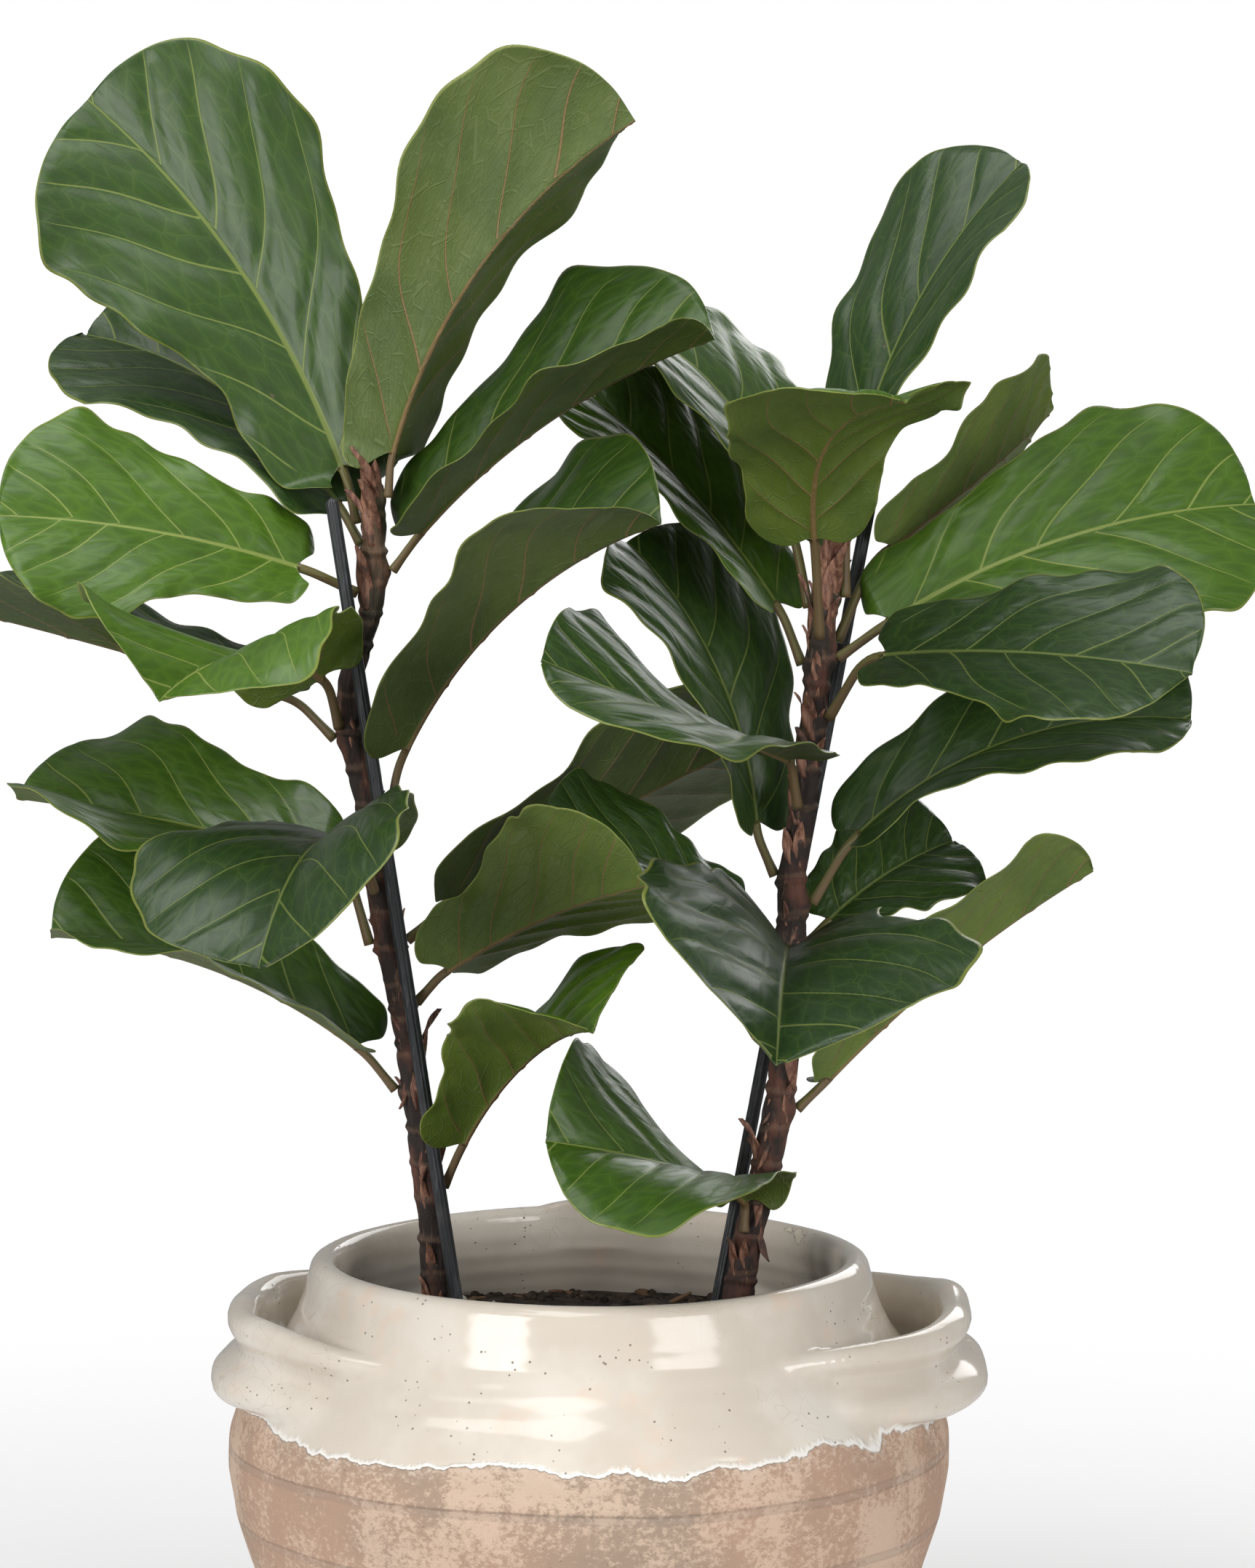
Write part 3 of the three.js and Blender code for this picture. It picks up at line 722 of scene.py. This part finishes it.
stems = {
    "left_stem": {
        "length": 498, "baseRadius": 9.5, "topRadius": 6.5, "budLength": 14, "seed": 1.0,
        "lean": [(-88, 0), (-91, 1), (-98, 2), (-107, 2), (-119, 1), (-128, 0), (-139, 0), (-124, 0),
                 (-124, 0)],
        "sheaths": [0.03, 0.055, 0.08, 0.11, 0.15, 0.19, 0.22, 0.25, 0.27, 0.30, 0.34, 0.40, 0.47, 0.55, 0.62,
                    0.70, 0.78, 0.86, 0.93, 0.97, 0.985, 0.99],
    },
    "right_stem": {
        "length": 438, "baseRadius": 9.5, "topRadius": 7.5, "budLength": 34, "seed": 4.0,
        "lean": [(84, 0), (91, -1), (104, -2), (113, -2), (116, -1), (118, 0), (126, 0), (131, 0), (136, 0)],
        "sheaths": [0.09, 0.16, 0.20, 0.25, 0.29, 0.33, 0.40, 0.48, 0.56, 0.63, 0.69, 0.75, 0.80, 0.84, 0.88,
                    0.91, 0.94, 0.96, 0.98, 0.99, 1.0, 1.0],
    },
}

bark = {"buried": 40, "around": 36, "perMillimetre": 0.75, "ringStep": 21, "ringBulge": 1.1}


def splinePoint(points, share):  # the same even spline as the model's stems
    table = np.array(points, float)
    last = len(table) - 1
    place = np.clip(np.atleast_1d(share), 0, 1) * last
    index = np.minimum(np.floor(place).astype(int), last)
    t = (place - index)[:, None]
    p0, p1 = table[np.maximum(index - 1, 0)], table[index]
    p2, p3 = table[np.minimum(index + 1, last)], table[np.minimum(index + 2, last)]
    v0, v1 = (p2 - p0) / 2, (p3 - p1) / 2
    return (2 * p1 - 2 * p2 + v0 + v1) * t ** 3 + (-3 * p1 + 3 * p2 - 2 * v0 - v1) * t ** 2 + v0 * t + p1


def stemRadius(stem, share):
    return stem["baseRadius"] + (stem["topRadius"] - stem["baseRadius"]) * np.clip(share, 0, 1)


def buildStem(name, material):
    stem = stems[name]
    low, high = -bark["buried"], stem["length"] + stem["budLength"]
    scars = [leaf for leaf in leaves if leaf["stem"] == name]

    def place(angle, share):
        z = low + (high - low) * share
        along = z / stem["length"]
        radius = stemRadius(stem, along)
        beyond = np.clip((z - stem["length"]) / stem["budLength"], 0, 1)
        pointed = np.where(z > stem["length"], 0.86 * (1 - beyond ** 1.6) + 0.02, 1.0)
        uneven = z + 5 * np.sin(z / 37) + 2.5 * np.sin(z / 17) + 1.5 * np.sin(angle + z / 50)
        ring = np.abs((uneven / bark["ringStep"] + 0.5) % 1 - 0.5) * bark["ringStep"]
        strength = 0.55 + 0.45 * np.sin(np.floor(uneven / bark["ringStep"] + 0.5) * 2.3 + stem["seed"])
        node = np.exp(-(ring / 1.8) ** 2) - 0.6 * np.exp(-((ring - 3.4) / 1.8) ** 2)
        rough = 0.8 * ripple(angle * 3, z / 6, angle * 2 + z / 9, stem["seed"])
        rough += 0.55 * ripple(angle * 8, z / 15, angle * 5, stem["seed"] + 2)
        radius = (radius - 0.4 + bark["ringBulge"] * node * strength + rough) * pointed
        for leaf in scars:  # the stem swells under every leaf and meets its stalk
            across = np.cos(angle - math.radians(leaf["heading"]))
            rise = z - leaf["at"] * stem["length"]
            radius += 2.6 * np.exp(-((rise + 1) / 5.5) ** 2) * np.clip(across, 0, 1) ** 4 * (along < 1)
        radius = np.where((share <= 0) | (share >= 1), 0, radius)
        centre = splinePoint(stem["lean"], along)
        return np.column_stack((centre[:, 0] + radius * np.cos(angle), centre[:, 1] + radius * np.sin(angle),
                                soil["top"] + z))

    along = round((high - low) * bark["perMillimetre"])
    piece = rolledTube(name + "Bark", bark["around"], along, place)
    giveMaterials(piece, material)
    handOver(piece, "bark", name)


sheath = {"length": 25, "width": 12, "curl": 0.9, "thickness": 0.45}


def flatSheath():  # a pointed dry scale, modelled once and copied up the stems
    scale = gridOf(8, 16, "dryScale")
    points = readPoints(scale)
    v, t = points[:, 0], (points[:, 1] + 1) / 2
    wide = np.sqrt(np.clip(t + 0.12, 0, 1)) * (1 - t ** 2.2) + 0.03
    x = v * wide * sheath["width"] / 2
    y = -(1 - np.cos(v * sheath["curl"] * 1.4)) * 3.0 * wide
    y = y + 5.5 * t ** 2.2 + 0.7 * np.sin(t * 9 + v * 3)
    z = t * sheath["length"]
    writePoints(scale, np.column_stack((x, -y, z)) * mm)
    thick = scale.modifiers.new("thick", "SOLIDIFY")
    thick.thickness = sheath["thickness"] * mm
    thick.offset = 0
    applyModifiers(scale)
    cleanMesh(scale, 0.000001)
    return scale


def buildSheaths(name, pattern, material):
    stem = stems[name]
    copies = []
    basis = readPoints(pattern) / mm
    for index, share in enumerate(stem["sheaths"]):
        for twin in range(2):
            heading = random.uniform(0, 2 * math.pi) if twin else math.radians(-90 + random.uniform(-75, 75))
            at = share + random.uniform(-0.008, 0.008)
            size = random.uniform(0.5, 1.2) * (1.35 if share > 0.85 else 1.0)
            gape = random.uniform(0.75, 1.7)
            downward = share < 0.6 and random.random() < 0.4
            wide = size * random.uniform(0.7, 1.1)
            points = basis * np.array((wide, size * gape, -size if downward else size))
            points[:, 0] += 0.10 * points[:, 2] * random.uniform(-1, 1)
            radius = float(stemRadius(stem, at)) - 1.0
            c, s = math.cos(heading + math.pi / 2), math.sin(heading + math.pi / 2)
            turned = np.column_stack((points[:, 0] * c - points[:, 1] * s, points[:, 0] * s + points[:, 1] * c,
                                      points[:, 2]))
            centre = splinePoint(stem["lean"], at)[0]
            turned += np.array((centre[0] + radius * math.cos(heading), centre[1] + radius * math.sin(heading),
                                soil["top"] + at * stem["length"]))
            one = copyOf(pattern, f"{name}Sheath{index}{twin}")
            writePoints(one, turned * mm)
            copies.append(one)
    piece = joinInto(copies[0], copies[1:])
    piece.name = name + "Sheaths"
    cleanMesh(piece, 0.000001)
    giveMaterials(piece, material)
    handOver(piece, "bark")


barkLook = {"red": (0.125, 0.048, 0.030, 1), "dark": (0.026, 0.016, 0.013, 1), "tan": (0.30, 0.18, 0.115, 1),
            "olive": (0.13, 0.12, 0.055, 1)}


def barkMaterial():
    material, shader, place = newMaterial("fibrousBark")
    fibre = noiseOf(stretched(place, 1, 1, 0.16), 260, 6, 0.7)
    blotch = noiseOf(stretched(place, 1, 1, 0.6), 42, 4, 0.6)
    colour = blendColour(fade(blotch, 0.38, 0.56), barkLook["red"], barkLook["dark"])
    colour = tint(colour, fade(fibre, 0.56, 0.74), 0.65, barkLook["tan"])
    z = apart(place)[2]
    step = calc("DIVIDE", minus(z, soil["top"] * mm), bark["ringStep"] * mm)
    step = plus(step, times(blotch, 0.8))
    ring = calc("ABSOLUTE", minus(calc("FRACT", plus(step, 0.1)), 0.5))
    scar = inverse(fade(ring, 0.03, 0.12))
    colour = tint(colour, scar, 0.20, barkLook["tan"])
    young = fade(plus(z, times(blotch, 0.06)), 0.70, 0.80)
    colour = tint(colour, young, 0.35, barkLook["olive"])
    feed(shader, "Base Color", colour)
    feed(shader, "Roughness", plus(0.62, times(fibre, 0.3)))
    height = plus(fibre, times(blotch, 0.6))
    feed(shader, "Normal", bumpOf(height, 0.0016, 1.0))
    return material


sheathLook = {"red": (0.115, 0.042, 0.026, 1), "straw": (0.37, 0.19, 0.12, 1), "dark": (0.055, 0.028, 0.020, 1)}


def sheathMaterial():
    material, shader, place = newMaterial("dryScale")
    fibre = noiseOf(stretched(place, 1, 1, 0.12), 380, 5, 0.7)
    patch = noiseOf(place, 55, 3)
    colour = blendColour(fade(fibre, 0.38, 0.68), sheathLook["red"], sheathLook["straw"])
    colour = blendColour(fade(patch, 0.52, 0.66), colour, sheathLook["dark"])
    feed(shader, "Base Color", colour)
    feed(shader, "Roughness", plus(0.42, times(fibre, 0.35)))
    feed(shader, "Normal", bumpOf(fibre, 0.0007, 0.9))
    return material


stakes = {
    "left_stake": {"length": 491, "foot": (-73, -15), "top": (-147, -17)},
    "right_stake": {"length": 572, "foot": (71, 15), "top": (179, 34)},
}

stakeShape = {"radius": 3.95, "ribs": 10, "ribDepth": 0.42, "buried": 60, "knotStep": 97}


def buildStake(name, material):
    stake = stakes[name]
    foot = np.array((*stake["foot"], soil["top"]), float)
    top = np.array((*stake["top"], soil["top"] + stake["length"]), float)
    long = float(np.linalg.norm(top - foot))
    up = (top - foot) / long
    side = np.cross(up, (0, 1, 0))
    side /= np.linalg.norm(side)
    back = np.cross(up, side)

    def place(angle, share):
        reach = -stakeShape["buried"] + (long + stakeShape["buried"]) * share
        rib = 0.5 + 0.5 * np.cos(angle * stakeShape["ribs"])
        radius = stakeShape["radius"] - stakeShape["ribDepth"] * rib ** 1.5
        left = long - reach
        radius = radius * np.where(left < 4, np.sqrt(np.clip(1 - ((4 - left) / 4.2) ** 2, 0, 1)), 1)
        swell = 0.16 * np.exp(-(((reach % stakeShape["knotStep"]) - 40) / 2.0) ** 2)
        radius = radius - swell
        radius = np.where((share <= 0) | (share >= 1), 0, radius)
        return foot + up * reach[:, None] + side * (radius * np.cos(angle))[:, None] + \
            back * (radius * np.sin(angle))[:, None]

    piece = rolledTube(name + "Rod", 80, 240, place)
    giveMaterials(piece, material)
    handOver(piece, "stake", name)


stakeLook = {"dark": (0.022, 0.024, 0.027, 1), "scuffed": (0.085, 0.090, 0.098, 1),
             "dust": (0.13, 0.125, 0.12, 1)}


def stakeMaterial():
    material, shader, place = newMaterial("stakePlastic")
    scuff = noiseOf(stretched(place, 1, 1, 0.1), 240, 4, 0.7)
    dust = noiseOf(place, 30, 4, 0.6)
    colour = blendColour(fade(scuff, 0.50, 0.75), stakeLook["dark"], stakeLook["scuffed"])
    colour = tint(colour, fade(dust, 0.55, 0.75), 0.4, stakeLook["dust"])
    feed(shader, "Base Color", colour)
    feed(shader, "Roughness", plus(0.30, times(scuff, 0.25)))
    feed(shader, "Normal", bumpOf(scuff, 0.0004, 0.6))
    return material


scalePattern = flatSheath()
barkSkin, scaleSkin, stakeSkin = barkMaterial(), sheathMaterial(), stakeMaterial()
for stemName in stems:
    buildStem(stemName, barkSkin)
    buildSheaths(stemName, scalePattern, scaleSkin)
throwAway(scalePattern)
for stakeName in stakes:
    buildStake(stakeName, stakeSkin)
print("stems and stakes made")


def makeFlatLeaf():
    flatLeaf = gridOf(leafShape["columns"], leafShape["petioleRows"] + leafShape["bladeRows"], "flatLeaf")
    thick = flatLeaf.modifiers.new("thick", "SOLIDIFY")
    thick.thickness = 0.2
    thick.offset = 0
    applyModifiers(flatLeaf)
    giveMaterials(flatLeaf, leafUpperMaterial(), leafLowerMaterial())
    for face in flatLeaf.data.polygons:  # the second material covers the underside
        face.material_index = 1 if face.center.z < -0.05 else 0
    return flatLeaf


def turnedFrames(leaf):  # point, upper side and right-hand side along the leaf
    stem = stems[leaf["stem"]]
    steps = 96
    total = leaf["petiole"] + leaf["length"]
    reach = np.linspace(0, total, steps + 1)
    along = np.clip((reach - leaf["petiole"]) / leaf["length"], 0, 1)
    grown = smoothStep(leaf["petiole"] * 0.45, leaf["petiole"], reach)
    rise = np.radians(leaf["lift"] + (leaf["rise"] - leaf["lift"]) * grown - leaf["droop"] * along)
    heading = np.radians(leaf["heading"] + leaf["swing"] * along)
    roll = np.radians((leaf["roll"] + leaf["twist"] * along) * grown)
    forward = np.column_stack((np.cos(rise) * np.cos(heading), np.cos(rise) * np.sin(heading), np.sin(rise)))
    level = np.column_stack((np.sin(heading), -np.cos(heading), np.zeros(steps + 1)))
    above = np.cross(level, forward)
    up = above * np.cos(roll)[:, None] + level * np.sin(roll)[:, None]
    side = level * np.cos(roll)[:, None] - above * np.sin(roll)[:, None]
    facing = math.radians(leaf["heading"])
    start = float(stemRadius(stem, leaf["at"])) + 0.9 + leafShape["clearance"]
    start += 3 * abs(math.sin(math.radians(leaf["lift"])))
    centre = splinePoint(stem["lean"], leaf["at"])[0]
    first = np.array((centre[0] + start * math.cos(facing), centre[1] + start * math.sin(facing),
                      soil["top"] + leaf["at"] * stem["length"]))
    point = first + np.vstack((np.zeros(3), np.cumsum(forward[:-1] * total / steps, axis=0)))
    return reach, point, up, side


def between(reach, table, at):
    return np.column_stack([np.interp(at, reach, table[:, k]) for k in range(3)])


def shapeLeaf(piece, leaf, number):
    grid = readPoints(piece)
    v = grid[:, 0]
    face = np.sign(grid[:, 2])
    petioleRows, bladeRows = leafShape["petioleRows"], leafShape["bladeRows"]
    row = (grid[:, 1] + 1) / 2 * (petioleRows + bladeRows)
    onBlade = row >= petioleRows
    outline = leafShape["outline"]
    place = np.clip((row - petioleRows) / bladeRows, 0, 1)
    rowShape = splinePoint(outline, place)
    span = np.abs(v)
    along = np.where(onBlade, rowShape[:, 0] + (rowShape[:, 1] - rowShape[:, 0]) * span, 0)
    half = leaf["width"] / 2
    seed = number * 1.37 + 0.4
    notch = 1 + 0.030 * np.sin(along * 19 + np.sign(v) * 1.3 + seed) + 0.018 * np.sin(along * 41 + seed * 2)
    wide = np.clip(rowShape[:, 2], 0.02, 2) * notch
    stalk = 1 - smoothStep(0, 7, row - petioleRows)  # the round stalk runs out into the blade
    stalk = np.where(onBlade, stalk, 1.0)
    radius = leafShape["petioleRadius"] * (1 + 0.22 * np.exp(-(row / 3.0) ** 2))
    stalkAcross = radius * np.sin(v * math.pi / 2)
    stalkLift = radius * np.maximum(np.cos(v * math.pi / 2), 0.12)
    across = np.where(onBlade, v * wide * half, stalkAcross)
    reach = np.where(onBlade, leaf["petiole"] + leaf["length"] * along, leaf["petiole"] * row / petioleRows)
    flatX, flatY = along, np.where(onBlade, v * wide, 0)

    # where the side veins run: whole numbers of this value lie half way between two veins
    hand = np.sign(v)
    y = np.abs(flatY)
    wander = 0.012 * np.sin(11 * flatX + 4 * y + seed) + 0.008 * np.sin(23 * flatX - 9 * y + hand + seed * 2)
    vein = (flatX - 0.40 * y - 0.10 * y ** 3 + wander) * leafShape["laterals"] + 0.28 * (hand > 0) + seed % 0.4
    away = np.abs((vein % 1) - 0.5)
    begun = smoothStep(0.02, 0.16, flatX) * onBlade

    # relief of the thin blade: it puffs up between the veins and sinks along them
    puff = leafShape["puff"] * (1 - np.exp(-(away / 0.17) ** 2)) * (1 - np.exp(-(y / 0.10) ** 2))
    puff = puff * (1 - 0.8 * span ** 5) * begun
    swell = 2.2 * ripple(flatX * 6, v * 2.4, seed, seed) * span * begun
    crimp = 1.5 * np.sin(flatX * 31 + hand * 2 + seed * 3) * smoothStep(0.72, 1.0, span) * begun
    sheet = puff + swell * 0.8 + crimp
    midRib = leafShape["rib"] * (1 - 0.72 * flatX) * np.exp(-(across / 1.9) ** 2)
    veinGap = away / leafShape["laterals"] * leaf["length"] * 0.8
    sideRib = leafShape["sideRib"] * np.exp(-(veinGap / 1.5) ** 2) * (1 - 0.8 * span) * begun
    upper = leafShape["thickness"] / 2 + midRib * 0.22
    lower = leafShape["thickness"] / 2 + midRib + sideRib
    lift = np.where(face > 0, upper, -lower) + sheet
    thinEdge = smoothStep(0.97, 1.0, span)
    lift = np.where(thinEdge > 0, sheet + (lift - sheet) * (1 - 0.5 * thinEdge), lift)
    stalkHeight = face * stalkLift
    runOut = stalkHeight * np.exp(-(across / 4.5) ** 2)
    lift = np.where(onBlade, lift + (runOut - lift) * stalk * 0.9, stalkHeight)

    # the model's fold, curl and wave
    frames = turnedFrames(leaf)
    point, up, side = (between(frames[0], table, reach) for table in frames[1:])
    up /= np.linalg.norm(up, axis=1)[:, None]
    side /= np.linalg.norm(side, axis=1)[:, None]
    share = np.clip((reach - leaf["petiole"]) / leaf["length"], 0, 1)
    fold = np.radians(leaf["fold"] + leaf["cup"] * share)
    curl = math.radians(leafShape["edgeCurl"])
    q = np.abs(across) / half
    angle = fold + curl * q
    out = (half / curl) * (np.sin(angle) - np.sin(fold))
    high = (-half / curl) * (np.cos(angle) - np.cos(fold))
    wave = leafShape["edgeWave"] * q * q * np.sin(share * 4 * math.pi + hand + leaf["heading"])
    sideways = hand * out - hand * lift * np.sin(angle) * q ** 0.2
    points = point + side * sideways[:, None] + up * (high + wave + lift * np.cos(angle))[:, None]
    writePoints(piece, points * mm)

    isStalk = np.where(onBlade, stalk * np.exp(-(across / 7) ** 2), 1.0)
    writeAttribute(piece, "blade", "FLOAT_VECTOR", np.column_stack((flatX, flatY, np.full(len(v), seed))))
    writeAttribute(piece, "veins", "FLOAT_VECTOR", np.column_stack((vein, span, isStalk)))
    writeAttribute(piece, "tone", "FLOAT", np.full(len(v), leaf["tone"]))


def veinGroup():
    if "leafVeins" in bpy.data.node_groups:
        return bpy.data.node_groups["leafVeins"]
    group = bpy.data.node_groups.new("leafVeins", "ShaderNodeTree")
    for label in ("Blade", "Veins"):
        group.interface.new_socket(label, in_out="INPUT", socket_type="NodeSocketVector")
    for label in ("Main", "Net", "Puff", "Edge"):
        group.interface.new_socket(label, in_out="OUTPUT", socket_type="NodeSocketFloat")
    start, end = group.nodes.new("NodeGroupInput"), group.nodes.new("NodeGroupOutput")
    x, y, seed = apart(start.outputs["Blade"])
    vein, span = apart(start.outputs["Veins"])[:2]
    y = calc("ABSOLUTE", y)
    away = calc("ABSOLUTE", minus(calc("FRACT", vein), 0.5))
    width = minus(0.021, times(y, 0.012))
    side = inverse(fade(calc("DIVIDE", away, width), 0.55, 1.5))
    side = times(side, fade(x, 0.015, 0.05))
    side = times(side, inverse(times(fade(span, 0.80, 0.97), 0.75)))
    midWidth = minus(0.025, times(x, 0.018))
    middle = inverse(fade(calc("DIVIDE", y, midWidth), 0.6, 1.25))
    main = calc("MAXIMUM", side, middle)
    warped = addNode(group, "ShaderNodeCombineXYZ", None,
                     {0: times(vein, 2.3), 1: times(y, 8.5), 2: seed}).outputs[0]
    cells = cellsOf(warped, 1.0, "DISTANCE_TO_EDGE")
    coarse = inverse(fade(cells, 0.008, 0.040))
    small = cellsOf(warped, 3.3, "DISTANCE_TO_EDGE")
    fine = inverse(fade(small, 0.02, 0.10))
    net = calc("MAXIMUM", times(coarse, 0.9), times(fine, 0.40))
    puff = fade(cells, 0.0, 0.32)
    edge = fade(span, 0.976, 0.990)
    for label, value in (("Main", main), ("Net", net), ("Puff", puff), ("Edge", edge)):
        feed(end, label, value)
    return group


upperLook = {"dark": (0.007, 0.023, 0.006, 1), "bright": (0.062, 0.138, 0.004, 1),
             "blue": (0.009, 0.027, 0.011, 1), "vein": (0.24, 0.29, 0.065, 1), "edge": (0.26, 0.29, 0.055, 1),
             "stalk": (0.13, 0.115, 0.038, 1), "blemish": (0.115, 0.085, 0.045, 1)}
lowerLook = {"dark": (0.042, 0.062, 0.013, 1), "bright": (0.120, 0.180, 0.012, 1),
             "vein": (0.21, 0.125, 0.048, 1), "net": (0.12, 0.155, 0.050, 1), "edge": (0.30, 0.33, 0.08, 1),
             "stalk": (0.14, 0.092, 0.040, 1)}


def leafParts(tree):  # what both sides of a leaf are painted by
    blade = attributeOf(tree, "blade")["Vector"]
    veins = attributeOf(tree, "veins")["Vector"]
    tone = attributeOf(tree, "tone")["Fac"]
    pattern = addNode(tree, "ShaderNodeGroup", {"node_tree": veinGroup()},
                      {"Blade": blade, "Veins": veins}).outputs
    stalk = apart(veins)[2]
    return pattern, stalk, tone


def leafUpperMaterial():
    look = upperLook
    material, shader, place = newMaterial("leafUpperSide")
    pattern, stalk, tone = leafParts(material.node_tree)
    cloud = noiseOf(place, 26, 4, 0.6)
    # the leaf's tone: the bright end is partly the leaf's own green and partly painted light shining through
    # the blade
    lamina = blendColour(tone, look["dark"], look["bright"])
    lamina = tint(lamina, fade(cloud, 0.45, 0.70), 0.22, look["blue"])
    light = blendColour(1.0, lamina, (1.22, 1.22, 1.05, 1), "MULTIPLY")
    lamina = blendColour(pattern["Puff"], light, lamina)
    colour = tint(lamina, pattern["Net"], 0.07, look["vein"])
    veinColour = blendColour(minus(0.62, times(tone, 0.5)), look["vein"], lamina)
    colour = tint(colour, pattern["Main"], 0.92, veinColour)
    blemish = fade(noiseOf(place, 47, 4, 0.6), 0.725, 0.745)
    colour = tint(colour, blemish, 0.6, look["blemish"])
    colour = tint(colour, pattern["Edge"], 0.55, look["edge"])
    colour = blendColour(stalk, colour, look["stalk"])
    feed(shader, "Base Color", colour)
    feed(shader, "Roughness", layered(0.34, (cloud, 0.18), (pattern["Main"], 0.12)))
    height = layered(times(pattern["Puff"], 0.35), (noiseOf(place, 700, 3), 0.10), (pattern["Main"], -0.25))
    feed(shader, "Normal", bumpOf(height, 0.0008, 0.8))
    shader.inputs["Coat Weight"].default_value = 0.14
    shader.inputs["Coat Roughness"].default_value = 0.20
    shader.inputs["Specular IOR Level"].default_value = 0.34
    return material


def leafLowerMaterial():
    look = lowerLook
    material, shader, place = newMaterial("leafUnderside")
    pattern, stalk, tone = leafParts(material.node_tree)
    cloud = noiseOf(place, 22, 4, 0.6)
    # the leaf's tone: the bright end is partly the leaf's own green and partly painted light shining through
    # the blade
    lamina = blendColour(tone, look["dark"], look["bright"])
    shade = blendColour(1.0, lamina, (0.70, 0.78, 0.70, 1), "MULTIPLY")
    lamina = blendColour(fade(cloud, 0.40, 0.66), lamina, shade)
    colour = tint(lamina, pattern["Net"], 0.38, look["net"])
    colour = tint(colour, pattern["Main"], 0.85, look["vein"])
    colour = tint(colour, pattern["Edge"], 0.5, look["edge"])
    colour = blendColour(stalk, colour, look["stalk"])
    feed(shader, "Base Color", colour)
    feed(shader, "Roughness", plus(0.50, times(cloud, 0.15)))
    height = layered(times(pattern["Net"], 0.45), (pattern["Main"], 0.7), (noiseOf(place, 600, 3), 0.15))
    feed(shader, "Normal", bumpOf(height, 0.0008, 0.8))
    return material


def buildLeaves():
    flatLeaf = makeFlatLeaf()
    for number, leaf in enumerate(leaves):
        piece = copyOf(flatLeaf, leaf["name"] + "Blade")
        shapeLeaf(piece, leaf, number)
        handOver(piece, "leaf", leaf["name"])
    throwAway(flatLeaf)
    print("leaves made", len(leaves))


buildLeaves()
